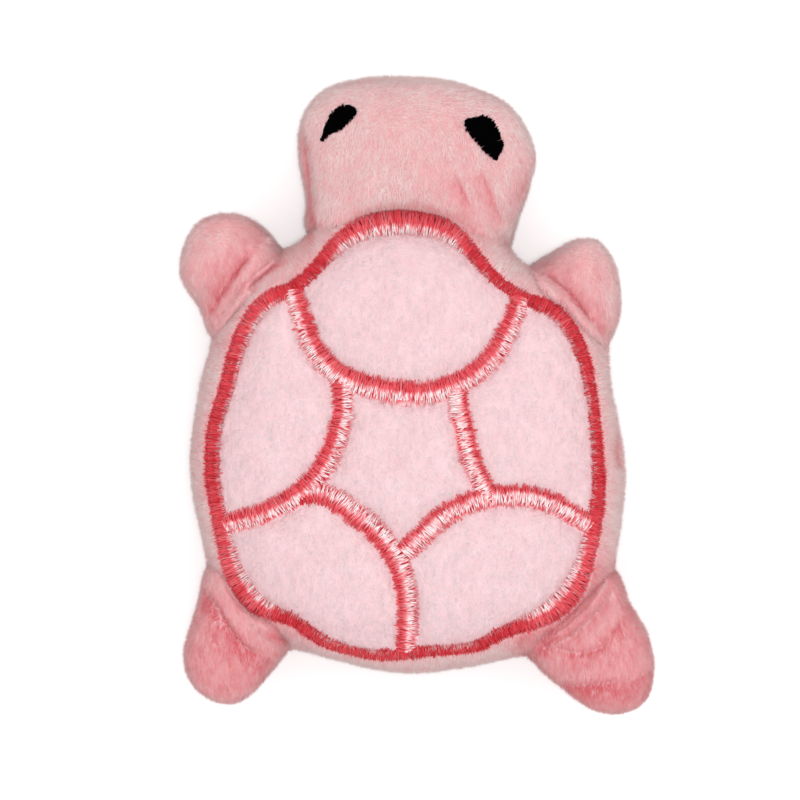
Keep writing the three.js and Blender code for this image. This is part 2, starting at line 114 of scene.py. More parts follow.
FRONT_LEFT_OUTLINE: Points = (
    (-30, 32.4), (-34.5, 37.8), (-41.5, 40.3), (-48.6, 38), (-52, 31.5), (-52, 25), (-48, 19),
    (-44.5, 13), (-37.5, 14.5), (-30, 20.5), (-27.5, 27),
)
FRONT_RIGHT_OUTLINE: Points = (
    (43.9, 16), (44.7, 23), (43.2, 29.6), (39.6, 34.3), (35.2, 34.9), (29.5, 31.8), (24.5, 27.5),
    (22.5, 21.5), (29, 15.5), (38, 9.5),
)
REAR_LEFT_OUTLINE: Points = (
    (-46, -38.4), (-49, -47), (-51.6, -56), (-50.4, -62.5), (-46, -66.9), (-39.5, -67.7),
    (-33.8, -63.6), (-28.5, -55.8), (-26.5, -48), (-33, -41.5), (-40.5, -34.5),
)
REAR_RIGHT_OUTLINE: Points = (
    (42.6, -38.4), (46.6, -45), (50.6, -52), (52, -60), (50.2, -67), (45, -70), (38.6, -69.2),
    (32, -65), (25.5, -58.5), (22.5, -51.5), (28.5, -45), (37, -38.5),
)
SCUTE_LINES: dict[str, Points] = {
    "neck_scute_stitch": (
        (-27.5, 24.5, 3.8), (-22.2, 10, 4.4), (-16, 4, 4.8), (-2, 0.4, 4.8), (7.5, 2, 4.8),
        (16.5, 8.5, 4.6), (23, 22.5, 3.6),
    ),
    "left_scute_stitch": (
        (-16.4, 4.4, 4.2), (-16.4, -5.1, 4.3), (-21.8, -17.6, 4.5), (-30.6, -24.3, 4.3), (-43.3, -28.4, 3.8),
    ),
    "right_scute_stitch": ((8.3, 2.2, 4.2), (9.4, -4.6, 4.2), (12, -15, 4.2), (16, -22.5, 4)),
    "rear_right_scute_stitch": (
        (39.6, -29.5, 3.8), (28, -23, 4.2), (17.5, -21.8, 4.4), (7.5, -25, 4.4), (-3, -34, 4.2),
    ),
    "rear_left_scute_stitch": (
        (-26, -22.3, 3), (-20.8, -21.3, 4.2), (-15, -24.7, 4.6), (-8, -30.4, 4.5), (-3.9, -37, 4.5),
        (-2.2, -46, 4.2), (-2.6, -55.6, 3.8),
    ),
}


def smooth_line(points: Points, count: int, closed: bool) -> np.ndarray:
    """Evenly spaced points on the centripetal curve through the given ones.

    Args:
        points: The pattern's points, in millimetres. A third number is carried along.
        count: How many points to return.
        closed: Whether the curve runs back to its start.

    Returns:
        The points on the curve, one row each.
    """
    knots = np.array(points, float)
    if closed:
        knots = np.vstack([knots[-1], knots, knots[0], knots[1]])
    else:
        knots = np.vstack([2 * knots[0] - knots[1], knots, 2 * knots[-1] - knots[-2]])
    share = np.linspace(0, 1, 24, endpoint=False)[:, None]
    drawn = []
    for before, start, end, after in zip(knots, knots[1:], knots[2:], knots[3:]):
        first, middle, last = (
            max(np.linalg.norm((b - a)[:2]) ** 0.5, 1e-6)
            for a, b in ((before, start), (start, end), (end, after))
        )
        leave = (start - before) / first - (end - before) / (first + middle) + (end - start) / middle
        arrive = (end - start) / middle - (after - start) / (middle + last) + (after - end) / last
        leave, arrive = leave * middle, arrive * middle
        square = 3 * (end - start) - 2 * leave - arrive
        cube = 2 * (start - end) + leave + arrive
        drawn.append(start + leave * share + square * share**2 + cube * share**3)
    dense = np.vstack([*drawn, knots[1] if closed else knots[-2]])
    steps = np.linalg.norm(np.diff(dense[:, :2], axis=0), axis=1)
    along = np.concatenate([[0], np.cumsum(steps)])
    wanted = np.linspace(0, along[-1], count, endpoint=not closed)
    return np.column_stack([np.interp(wanted, along, column) for column in dense.T])


def ring(line: np.ndarray) -> np.ndarray:
    """A closed line with its first point again at its end."""
    return np.vstack([line, line[:1]])


def distance_to(line: np.ndarray, places: np.ndarray, signed: bool = False) -> np.ndarray:
    """Distance from each place to a line, seen from above, in millimetres.

    Args:
        line: The line's points. Half of their third number, a width, is taken off the distance.
        places: The places, of which the first two numbers count.
        signed: Makes the distance negative on the line's right.

    Returns:
        One distance for each place.
    """
    nearest = np.full(len(places), np.inf)
    side = np.ones(len(places))
    for start, end in zip(line, line[1:]):
        run = (end - start)[:2]
        off = places[:, :2] - start[:2]
        share = np.clip((off @ run) / (run @ run), 0, 1)
        away = np.linalg.norm(off - share[:, None] * run, axis=1)
        if len(start) > 2:
            away = away - 0.5 * (start[2] + share * (end[2] - start[2]))
        closer = away < nearest
        nearest = np.where(closer, away, nearest)
        if signed:
            side = np.where(closer, np.where(run[0] * off[:, 1] - run[1] * off[:, 0] < 0, -1, 1), side)
    return nearest * side


def eased(share: np.ndarray) -> np.ndarray:
    """A smooth step from 0 to 1."""
    inside = np.clip(share, 0, 1)
    return inside * inside * (3 - 2 * inside)


def drift(places: np.ndarray, size: float, shift: float = 0.0) -> np.ndarray:
    """Smooth noise from -1 to 1 over swells of the given size.

    Args:
        places: Points in millimetres.
        size: How far apart the swells are, in millimetres.
        shift: Moves the pattern, so that two calls differ.

    Returns:
        One value for each place.
    """
    scaled = places / size + shift * np.array([1.0, 1.7, 2.3])
    cell = np.floor(scaled).astype(int)
    share = scaled - cell
    share = share * share * (3 - 2 * share)
    total = np.zeros(len(places))
    for corner in np.ndindex(2, 2, 2):
        weight = np.prod(np.where(corner, share, 1 - share), axis=1)
        total += weight * SWELLS[tuple(((cell + corner) % len(SWELLS)).T)]
    return total


def unit(vectors: np.ndarray) -> np.ndarray:
    """The vectors at length one."""
    return vectors / np.maximum(np.linalg.norm(vectors, axis=1, keepdims=True), 1e-9)


def coordinates(piece: bpy.types.Object) -> np.ndarray:
    """The piece's vertices in millimetres, one row each."""
    flat = np.empty(len(piece.data.vertices) * 3)
    piece.data.vertices.foreach_get("co", flat)
    return flat.reshape(-1, 3) / MM


def move_vertices(piece: bpy.types.Object, places: np.ndarray) -> None:
    """Moves the piece's vertices to places in millimetres."""
    piece.data.vertices.foreach_set("co", (places * MM).ravel())
    piece.data.update()


def vertex_normals(piece: bpy.types.Object) -> np.ndarray:
    """The outward direction at each vertex."""
    flat = np.empty(len(piece.data.vertices) * 3)
    piece.data.vertices.foreach_get("normal", flat)
    return flat.reshape(-1, 3)


def mark(piece: bpy.types.Object, name: str, values: np.ndarray) -> None:
    """Keeps a value for each vertex, which a material reads by name."""
    layer = piece.data.attributes.new(name, "FLOAT", "POINT")
    layer.data.foreach_set("value", values.astype(np.float32))


def build_mesh(
    name: str, places: np.ndarray, faces: list[np.ndarray], uv: list[np.ndarray],
) -> bpy.types.Object:
    """Makes an object from arrays of faces that have the same number of corners in each array.

    Args:
        name: The piece's name.
        places: Vertices in millimetres.
        faces: Arrays of corner indices, one row for each face.
        uv: For each array of faces, the map place of each corner.

    Returns:
        The new object, linked to the scene.
    """
    mesh = bpy.data.meshes.new(name)
    corners = np.concatenate([block.ravel() for block in faces])
    sizes = np.concatenate([np.full(len(block), block.shape[1]) for block in faces])
    mesh.vertices.add(len(places))
    mesh.vertices.foreach_set("co", (places * MM).ravel())
    mesh.loops.add(len(corners))
    mesh.loops.foreach_set("vertex_index", corners.astype(np.int32))
    mesh.polygons.add(len(sizes))
    starts = np.cumsum(sizes) - sizes
    mesh.polygons.foreach_set("loop_start", starts.astype(np.int32))
    mesh.polygons.foreach_set("use_smooth", np.ones(len(sizes), bool))
    layer = mesh.uv_layers.new(name=UV_NAME)
    map_places = np.concatenate([block.reshape(-1, 2) for block in uv])
    layer.data.foreach_set("uv", map_places.astype(np.float32).ravel())
    mesh.update(calc_edges=True)
    mesh.validate()
    piece = bpy.data.objects.new(name, mesh)
    bpy.context.scene.collection.objects.link(piece)
    return piece


def start_ball(name: str, around: int, rings: int) -> bpy.types.Object:
    """A ball of radius one metre, to be shaped into a stuffed form."""
    bpy.ops.object.select_all(action="DESELECT")
    bpy.ops.mesh.primitive_uv_sphere_add(segments=around, ring_count=rings, radius=1.0)
    piece = bpy.context.active_object
    piece.name = name
    piece.data.name = name
    while piece.data.uv_layers:
        piece.data.uv_layers.remove(piece.data.uv_layers[0])
    bpy.ops.object.shade_smooth()
    return piece


def linear(hex_colour: str) -> tuple[float, float, float, float]:
    """An sRGB hex colour as linear red, green, blue and alpha."""
    levels = [int(hex_colour[i:i + 2], 16) / 255 for i in (1, 3, 5)]
    rgb = [level / 12.92 if level <= 0.04045 else ((level + 0.055) / 1.055) ** 2.4 for level in levels]
    return (rgb[0], rgb[1], rgb[2], 1.0)


@dataclass
class NodeTree:
    """A material's nodes, with one way to add and link them."""

    name: str
    material: bpy.types.Material = field(init=False)

    def __post_init__(self) -> None:
        """Makes a material without any nodes."""
        self.material = bpy.data.materials.new(self.name)
        self.material.use_nodes = True
        self.material.node_tree.nodes.clear()

    def add(self, kind: str, settings: dict | None = None, **inputs: object) -> bpy.types.Node:
        """Adds a node.

        Args:
            kind: The node's type name.
            settings: Properties of the node itself.
            **inputs: Values or sockets for its inputs, by name with _ for a space, or by number as i0.

        Returns:
            The new node.
        """
        node = self.material.node_tree.nodes.new(kind)
        for key, value in (settings or {}).items():
            setattr(node, key, value)
        for key, value in inputs.items():
            numbered = key[0] == "i" and key[1:].isdigit()
            socket = node.inputs[int(key[1:]) if numbered else key.replace("_", " ")]
            if isinstance(value, bpy.types.NodeSocket):
                self.material.node_tree.links.new(value, socket)
            else:
                socket.default_value = value
        return node

    def ramp(self, amount: bpy.types.NodeSocket, stops: Sequence[tuple[float, str]]) -> bpy.types.NodeSocket:
        """A colour ramp through hex colours at the given places."""
        node = self.add("ShaderNodeValToRGB", i0=amount)
        elements = node.color_ramp.elements
        while len(elements) < len(stops):
            elements.new(0.5)
        for element, (place, colour) in zip(elements, stops):
            element.position = place
            element.color = linear(colour)
        return node.outputs["Color"]

    def map_place(self) -> bpy.types.Node:
        """A fibre's or thread's place on its map: X is its tone and Y runs along it."""
        uv = self.add("ShaderNodeUVMap", {"uv_map": UV_NAME}).outputs["UV"]
        return self.add("ShaderNodeSeparateXYZ", i0=uv)

    def noise(self, size: float, **inputs: float) -> bpy.types.NodeSocket:
        """Solid noise whose grains have a real size in millimetres."""
        place = self.add("ShaderNodeTexCoord").outputs["Object"]
        return self.add("ShaderNodeTexNoise", Vector=place, Scale=1 / (size * MM), **inputs).outputs["Fac"]

    def bump(self, height: bpy.types.NodeSocket, strength: float, depth: float) -> bpy.types.NodeSocket:
        """Relief of a real depth in millimetres."""
        bump = self.add("ShaderNodeBump", Height=height, Strength=strength, Distance=depth * MM)
        return bump.outputs[0]

    def mix(
        self, share: bpy.types.NodeSocket, colour: bpy.types.NodeSocket, other: str,
    ) -> bpy.types.NodeSocket:
        """A colour that gives way to another, a hex colour, as the share goes from 0 to 1."""
        node = self.add("ShaderNodeMix", {"data_type": "RGBA"}, i0=share, i6=colour, i7=linear(other))
        return node.outputs[2]

    def surface(self, **inputs: object) -> bpy.types.Material:
        """Ends the tree with a shader that has these inputs, and returns the material."""
        shader = self.add("ShaderNodeBsdfPrincipled", **inputs)
        self.add("ShaderNodeOutputMaterial", Surface=shader.outputs[0])
        return self.material


@dataclass(frozen=True)
class PileFinish:
    """Cut polyester pile: dull soft fibres, whose nap has a pale bloom where it is seen from the side."""

    name: str
    tones: tuple[tuple[float, str], ...]  # from the palest fibre to the deepest
    root: str  # the colour that light takes on between the fibres
    root_share: float
    bloom: float
    bloom_tint: str
    lit_from: float = 0.7  # how far along a fibre the light between the fibres stops colouring it

    def material(self) -> bpy.types.Material:
        """The pile's material."""
        tree = NodeTree(self.name)
        place = tree.map_place()
        tone = tree.ramp(place.outputs["X"], self.tones)
        depth = tree.add(
            "ShaderNodeMapRange",
            i0=place.outputs["Y"], i1=0.0, i2=self.lit_from, i3=self.root_share, i4=0.0,
        )
        return tree.surface(
            Base_Color=tree.mix(depth.outputs[0], tone, self.root), Roughness=0.9, Specular_IOR_Level=0.15,
            Sheen_Weight=self.bloom, Sheen_Roughness=0.5, Sheen_Tint=linear(self.bloom_tint),
        )


@dataclass(frozen=True)
class BackingFinish:
    """The knitted backing that shows between the fibres: a dull ground with fine knitted loops."""

    name: str
    ground: tuple[tuple[float, str], ...]
    sewn: str  # the colour under the embroidery
    mottle: float = 4.0  # millimetres across a patch of the dye
    loop: float = 0.7  # millimetres across a knitted loop
    loop_depth: float = 0.3

    def material(self) -> bpy.types.Material:
        """The backing's material. The attribute sewn is 1 where thread covers it."""
        tree = NodeTree(self.name)
        ground = tree.ramp(tree.noise(self.mottle, Detail=4.0, Roughness=0.6), self.ground)
        sewn = tree.add("ShaderNodeAttribute", {"attribute_name": "sewn"}).outputs["Fac"]
        return tree.surface(
            Base_Color=tree.mix(sewn, ground, self.sewn), Roughness=0.95, Specular_IOR_Level=0.15,
            Normal=tree.bump(tree.noise(self.loop, Detail=3.0), 0.6, self.loop_depth),
        )


@dataclass(frozen=True)
class ThreadFinish:
    """Trilobal embroidery thread: glossy filament yarn, whose palest tones are a painted glint laid where it
    lies level.
    """

    name: str
    tones: tuple[tuple[float, str], ...]
    roughness: float
    gloss: float

    def material(self) -> bpy.types.Material:
        """The thread's material."""
        tree = NodeTree(self.name)
        return tree.surface(
            Base_Color=tree.ramp(tree.map_place().outputs["X"], self.tones), Roughness=self.roughness,
            Specular_IOR_Level=self.gloss, Coat_Weight=0.5 * self.gloss, Coat_Roughness=self.roughness,
        )


@dataclass(frozen=True)
class FibrefillFinish:
    """Crimped polyester fibrefill: white, matted and soft, with faint strands."""

    name: str
    tones: tuple[tuple[float, str], ...]
    strand: float = 2.5  # millimetres between strands
    strand_depth: float = 0.6

    def material(self) -> bpy.types.Material:
        """The stuffing's material."""
        tree = NodeTree(self.name)
        strands = tree.noise(self.strand, Detail=6.0, Roughness=0.7, Distortion=2.0)
        return tree.surface(
            Base_Color=tree.ramp(strands, self.tones), Roughness=1.0, Sheen_Weight=0.4,
            Normal=tree.bump(strands, 0.8, self.strand_depth),
        )


@dataclass(frozen=True)
class MouldedFinish:
    """Moulded or blown plastic: smooth, with faint flow clouds and a fine satin grain."""

    name: str
    tones: tuple[tuple[float, str], ...]
    roughness: float
    cloud: float = 6.0  # millimetres across a flow cloud
    grain: float = 0.4
    grain_depth: float = 0.05

    def material(self) -> bpy.types.Material:
        """The plastic's material."""
        tree = NodeTree(self.name)
        return tree.surface(
            Base_Color=tree.ramp(tree.noise(self.cloud, Detail=2.0), self.tones), Roughness=self.roughness,
            Normal=tree.bump(tree.noise(self.grain, Detail=1.0), 0.2, self.grain_depth),
        )


# The knitted ground between the roots of the pile: a pink a little greyer than the fibres
PINK_BACKING = BackingFinish("pink_velboa_backing", ((0.3, "#e4a5a8"), (0.7, "#ecb6b8")), "#e2404e")
# The same ground under the shell, nearly white, and red under the embroidery as the bobbin thread makes it
PALE_BACKING = BackingFinish("pale_velboa_backing", ((0.3, "#f3c9ce"), (0.7, "#f8d6da")), "#e2404e")
# Soft brushed pink with pale tips, deep rose as painted shade in folds, at joints and beside the border, and
# a light bloom round the sides
PINK_PILE = PileFinish(
    "pink_velboa_pile",
    ((0.0, "#fff0ee"), (0.22, "#fbdedd"), (0.42, "#fdc6c9"), (0.64, "#f6a5a9"), (1.0, "#e9626e")),
    "#f2a4aa", 0.28, 0.6, "#ffe2de",
)
# Pale, shorter and closer, so that the scutes look velvety and almost even; its deeper tones are painted
# shade beside the stitching and on the slopes
PALE_PILE = PileFinish(
    "pale_velboa_pile", ((0.0, "#f9eeef"), (0.4, "#f6dee1"), (0.75, "#f0c1c6"), (1.0, "#e3969f")),
    "#efbac0", 0.25, 0.25, "#fff2f3",
)
# Saturated rose red, painted deeper on narrow stitching as shade, and nearly white for the painted glint
# where the threads lie level
ROSE_THREAD = ThreadFinish(
    "rose_trilobal_thread",
    ((0.0, "#c01322"), (0.12, "#d92c3a"), (0.26, "#ec4f5a"), (0.6, "#ffb4ba"), (1.0, "#fffafa")), 0.4, 0.25,
)
# Black without a glint: the eyes read as flat holes in the pink
BLACK_THREAD = ThreadFinish(
    "black_trilobal_thread", ((0.0, "#060506"), (0.5, "#030203"), (1.0, "#010101")), 0.7, 0.0,
)
# A dull pink sewing cotton that almost hides in the pile
SEWING_THREAD = ThreadFinish(
    "pink_polyester_sewing_thread", ((0.0, "#f0b4b9"), (0.5, "#e59da4"), (1.0, "#d7858d")), 0.45, 0.3,
)
# White wadding with faint warm shadows between its strands
FIBREFILL = FibrefillFinish("polyester_fibrefill", ((0.3, "#dcd8cf"), (0.6, "#f6f4ef")))
# Milky, slightly yellow blown plastic with a satin skin
BLOWN_PLASTIC = MouldedFinish("blown_polyethylene", ((0.35, "#e9e5da"), (0.7, "#f3f1ea")), 0.4)
# Clean white moulded plastic, a touch duller
MOULDED_PLASTIC = MouldedFinish("moulded_polypropylene", ((0.35, "#f1efe9"), (0.7, "#f8f7f3")), 0.45)
# Smoky film, the glossiest surface of the toy
REED_FILM = MouldedFinish("polyester_film", ((0.35, "#b9b2a2"), (0.7, "#c9c3b5")), 0.25, grain=0.15)


class Side(Enum):
    """The side of a line that a fold slopes down from, as seen along the line."""

    LEFT = 1
    RIGHT = -1
    BOTH = 0


@dataclass(frozen=True)
class Fold:
    """A fold in a stuffed form along a line seen from above: one side slopes in, the other laps over it."""

    line: Points
    depth: float
    slopes: Side = Side.BOTH
    reach: float = 4.0  # how far the slope runs out, in millimetres
    lap: float = 0.7  # how far the side that laps over it curls in
    run_out: float = 5.0  # over how far it fades at its ends

    def away(self, places: np.ndarray) -> tuple[np.ndarray, np.ndarray]:
        """Distance from the fold as a share of its reach on that side, and how far it fades at its ends."""
        line = smooth_line(self.line, 16, False)
        signed = distance_to(line, places, signed=True)
        if self.slopes is Side.BOTH:
            reach = 0.5 * self.reach
        else:
            reach = np.where(signed * self.slopes.value > 0, self.reach, self.lap)
        ends = np.minimum(*(np.linalg.norm(places[:, :2] - end, axis=1) for end in (line[0], line[-1])))
        return np.abs(signed) / reach, eased(0.25 + ends / self.run_out)

    def dip(self, places: np.ndarray) -> np.ndarray:
        """How far the fold draws each place in, in millimetres."""
        away, fade = self.away(places)
        return self.depth * fade * np.exp(-away)

    def shade(self, places: np.ndarray) -> np.ndarray:
        """How much deeper the pile is painted at each place, as painted shade in the fold, up to 1."""
        away, fade = self.away(places)
        return min(self.depth, 1.0) * fade * (0.4 * np.exp(-3.5 * away) + 0.6 * np.exp(-1.2 * away))


def inflate(piece: bpy.types.Object, cap: float, held: np.ndarray) -> None:
    """Swells a closed cloth form by cloth simulation and keeps the result in its mesh.

    Args:
        piece: The cloth form.
        cap: How far a point may move, in millimetres.
        held: How firmly each vertex is held, from 0 to 1.
    """
    before = coordinates(piece)
    cloth = piece.modifiers.new("stuffing_pressure", "CLOTH")
    cloth.settings.use_pressure = True
    cloth.settings.uniform_pressure_force = STUFFING_PRESSURE
    cloth.settings.effector_weights.gravity = 0.0
    cloth.settings.quality = 4
    group = piece.vertex_groups.new(name="held")
    held = np.round(held, 1)
    for level in np.unique(held):
        group.add(np.flatnonzero(held == level).tolist(), float(level), "REPLACE")
    cloth.settings.vertex_group_mass = group.name
    scene = bpy.context.scene
    for step in range(SWELL_FRAMES):
        scene.frame_set(step + 1)
    swollen = piece.evaluated_get(bpy.context.evaluated_depsgraph_get())
    flat = np.empty(len(before) * 3)
    swollen.data.vertices.foreach_get("co", flat)
    piece.modifiers.remove(cloth)
    scene.frame_set(1)
    moved = flat.reshape(-1, 3) / MM - before
    far = np.maximum(np.linalg.norm(moved, axis=1, keepdims=True), 1e-9)
    LOG.info("%s: swelled by up to %.1f mm", piece.name, float(far.max()))
    # Rounded, because the simulation's last digits change from run to run
    move_vertices(piece, np.round(before + moved * np.minimum(far, cap) / far, 2))


def refine(piece: bpy.types.Object, levels: int) -> None:
    """Subdivides a piece smoothly and keeps the result in its mesh."""
    bpy.ops.object.select_all(action="DESELECT")
    bpy.context.view_layer.objects.active = piece
    piece.select_set(True)
    subdivision = piece.modifiers.new("refine", "SUBSURF")
    subdivision.levels = levels
    subdivision.render_levels = levels
    bpy.ops.object.modifier_apply(modifier=subdivision.name)


@dataclass(frozen=True)
class Settling:
    """How the pink cloth settles over its stuffing: lengths in millimetres, the rest as shares."""

    inset: float = 0.6  # how much smaller than its form the cloth starts
    swell: float = 0.9  # the most that it swells
    held: float = 0.35  # the share of a form, round its middle, that is held as it swells
    hug: float = 0.75  # how much of its distance from the form it loses again as it is sewn
    seam_dip: float = 0.45  # the furrow along the seam
    seam_half: float = 1.1
    lump_size: float = 12.0
    small_lump: float = 0.4  # the height of small lumps against that of large ones
    small_lump_size: float = 4.5
    upper_over: float = 4.0  # how far over the seam the upper side begins in full
    root_swell: float = 1.0  # how far the sides swell beside a neighbour
    root_reach: float = 2.5
    fillet: float = 2.2  # how far the joint to a neighbour is filled
    fillet_step: float = 9.0  # a neighbour that is this much taller or lower isn't joined by a fillet
    sunk: float = 1.5  # how far the cloth lies lower where it is inside a neighbour
    tuck_reach: float = 3.5  # how far from the border the cloth is drawn down
    border_gap: float = 0.35  # how far it lies under the shell's cloth at the border
    border_reach: float = 1.6
    border_step: float = 6.0  # cloth further below the border than this isn't drawn to it
    under_shell: float = 3.2  # how far it dips inside the border
    floor: float = 0.25


SETTLING = Settling()


@dataclass
class StuffedForm:
    """A stuffed form: it swells from the seam round its sides over an outline seen from above."""

    name: str
    outline: Points
    middle: tuple[float, float]
    rise: float
    drop: float
    fullness: float
    nodes: tuple[str, ...] = ()
    facets: tuple[int, int] = (48, 30)
    folds: tuple[Fold, ...] = ()
    lump: float = 0.45
    depth: float = 0.3  # how deep its colour is, from 0 to 1
    tuck: float = 0.3  # how far its cloth is drawn down beside the shell's border
    blush: float = 5.0  # how far inside the torso its own colour begins, in millimetres
    shoulder: float = 0.0  # how far its cloth is lifted where it runs into the torso
    skin: bpy.types.Object | None = field(default=None, init=False)

    def __post_init__(self) -> None:
        """Works out how far the rim is from the middle, all round."""
        rim = smooth_line(self.outline, 720, True)[:, :2] - np.array(self.middle)
        angle = np.arctan2(rim[:, 1], rim[:, 0])
        order = np.argsort(angle)
        reach = np.linalg.norm(rim, axis=1)[order]
        angle = angle[order]
        self._angles = np.concatenate([angle - 2 * math.pi, angle, angle + 2 * math.pi])
        self._reaches = np.tile(reach, 3)

    def rim_at(self, angle: np.ndarray) -> np.ndarray:
        """How far the outline is from the middle at each angle, in millimetres."""
        return np.interp(angle, self._angles, self._reaches)

    def polar(self, places: np.ndarray) -> tuple[np.ndarray, np.ndarray]:
        """Each place's distance from the middle, and the outline's distance that way."""
        off = places[:, :2] - np.array(self.middle)
        return np.linalg.norm(off, axis=1), self.rim_at(np.arctan2(off[:, 1], off[:, 0]))

    def share_out(self, places: np.ndarray) -> np.ndarray:
        """How far out each place is, from 0 at the middle to 1 at the outline."""
        out, rim = self.polar(places)
        return out / rim

    def swell(self, places: np.ndarray, nap: float = 0.0) -> np.ndarray:
        """The form's swell at each place, as a share of its rise or drop."""
        out, rim = self.polar(places)
        return (1 - np.clip(out / (rim - nap), 0, 1) ** self.fullness) ** (1 / self.fullness)

    def top(self, places: np.ndarray) -> np.ndarray:
        """The level of the form's upper side at places seen from above."""
        return SEAM_Z + self.rise * self.swell(places)

    def holds(self, places: np.ndarray, margin: float) -> np.ndarray:
        """Whether each place lies inside the form by more than a margin in millimetres."""
        level = places[:, 2] - SEAM_Z
        height = np.where(level > 0, self.rise, self.drop) - margin
        out, rim = self.polar(places)
        share = np.clip(out / np.maximum(rim - margin, 1e-6), 0, 2)
        return share**self.fullness + np.abs(level / height) ** self.fullness < 1

    def outside(self, places: np.ndarray) -> np.ndarray:
        """Distance from the form's surface to each place, below 0 inside it, in millimetres."""

        def fullness(at: np.ndarray) -> np.ndarray:
            level = at[:, 2] - SEAM_Z
            tall = np.abs(level / np.where(level > 0, self.rise, self.drop))
            return (self.share_out(at) ** self.fullness + tall**self.fullness) ** (1 / self.fullness)

        step = 0.3
        slopes = [
            (fullness(places + shift) - fullness(places - shift)) / (2 * step)
            for shift in step * np.eye(3)
        ]
        steep = np.sqrt(sum(slope**2 for slope in slopes))
        return (fullness(places) - 1) / np.maximum(steep, 1e-3)

    def shaped(self, ball: np.ndarray, nap: float) -> np.ndarray:
        """Places on the form for the points of a unit ball, drawn in by the nap."""
        angle = np.arctan2(ball[:, 1], ball[:, 0])
        power = 2 / self.fullness
        out = np.clip(np.hypot(ball[:, 0], ball[:, 1]), 0, 1) ** power * (self.rim_at(angle) - nap)
        height = np.where(ball[:, 2] >= 0, self.rise - nap, nap - self.drop)
        return np.column_stack([
            self.middle[0] + out * np.cos(angle),
            self.middle[1] + out * np.sin(angle),
            SEAM_Z + height * np.abs(ball[:, 2]) ** power,
        ])

    def make_skin(self, neighbours: Sequence["StuffedForm"], shell: "Shell") -> None:
        """Models the plush cloth under its pile, swollen by its stuffing and then sewn and folded.

        Args:
            neighbours: The forms that are cut from the same cloth, which this one runs into smoothly.
            shell: The shell, whose border holds the cloth down along its edge.
        """
        cloth = SETTLING
        self.skin = start_ball(f"{self.name}_cloth", *self.facets)
        move_vertices(self.skin, self.shaped(coordinates(self.skin) * MM, PINK_NAP + cloth.inset))
        middle = eased((cloth.held - self.share_out(coordinates(self.skin))) / 0.15)
        inflate(self.skin, cloth.swell, middle)
        refine(self.skin, 2)
        places, outward = coordinates(self.skin), vertex_normals(self.skin)
        inward = cloth.hug * (self.outside(places) + PINK_NAP)
        inward += cloth.seam_dip * np.exp(-(((places[:, 2] - SEAM_Z) / cloth.seam_half) ** 2))
        lumps = drift(places, cloth.lump_size) + cloth.small_lump * drift(places, cloth.small_lump_size, 3.3)
        inward -= self.lump * lumps
        upper = eased((places[:, 2] - SEAM_Z) / cloth.upper_over)
        for fold in self.folds:
            inward += upper * fold.dip(places)
        clear = np.maximum(shell.clear_of_border(places), 0)
        smooth = 1 - self.shade(places)
        fill, inside = np.zeros(len(places)), np.zeros(len(places))
        for other in neighbours:
            beyond = other.outside(places)
            near = np.exp(-np.maximum(beyond, 0) / cloth.root_reach) * smooth
            inward -= cloth.root_swell * near * (1 - upper)
            apart = np.abs(self.top(places) - other.top(places)) / cloth.fillet_step
            fill += cloth.fillet * smooth * np.clip(1 - apart, 0, 1) ** 2 + self.shoulder * near
            inside = np.maximum(inside, eased((-beyond - 2) / 2.5))
        fill = fill * (1 - inside) - cloth.sunk * inside
        places = places - outward * inward[:, None]
        upper = eased((places[:, 2] - SEAM_Z - 1) / 3)
        tucked = self.tuck * np.exp(-clear / cloth.tuck_reach)
        places[:, 2] += upper * (fill * eased(clear / 1.5) - tucked)
        away = shell.clear_of_border(places)
        rise = shell.relief.level(places) - cloth.border_gap - places[:, 2]
        meet = np.exp(-((np.maximum(away, 0) / cloth.border_reach) ** 2)) * (1 - inside)
        meet *= np.clip(1 - np.abs(rise) / cloth.border_step, 0, 1)
        places[:, 2] += upper * (meet * rise - cloth.under_shell * eased((-away - 0.5) / 2))
        places[:, 2] = np.maximum(places[:, 2], cloth.floor)
        move_vertices(self.skin, places)
        mark(self.skin, "sewn", upper * eased((0.05 - away) / 0.3))

    def shade(self, place: np.ndarray) -> np.ndarray:
        """How much painted shade the folds lay on the pile at each place."""
        deepest = np.zeros(len(place))
        near = self.share_out(place) < 1.4
        for fold in self.folds:
            deepest[near] = np.maximum(deepest[near], fold.shade(place[near]))
        return deepest * eased((place[:, 2] - SEAM_Z) / 4)


def fibre_template() -> tuple[np.ndarray, list[list[int]]]:
    """Models one fibre as a tapered blade, from its root at 0 to its tip at 1 along Y.

    Returns:
        Its vertices and its faces.
    """
    height = 1.0
    radius = height * 2 / 3
    bpy.ops.object.select_all(action="DESELECT")
    bpy.ops.mesh.primitive_circle_add(
        vertices=3, radius=radius, fill_type="NGON", location=(0, height - radius, 0),
    )
    blade = bpy.context.active_object
    bpy.ops.object.mode_set(mode="EDIT")
    bpy.ops.mesh.select_all(action="SELECT")
    bpy.ops.transform.resize(value=(1 / (3**0.5 * radius), 1, 1))
    bpy.ops.object.mode_set(mode="OBJECT")
    bpy.ops.object.transform_apply(location=True, rotation=False, scale=False)
    return take_shape(blade)


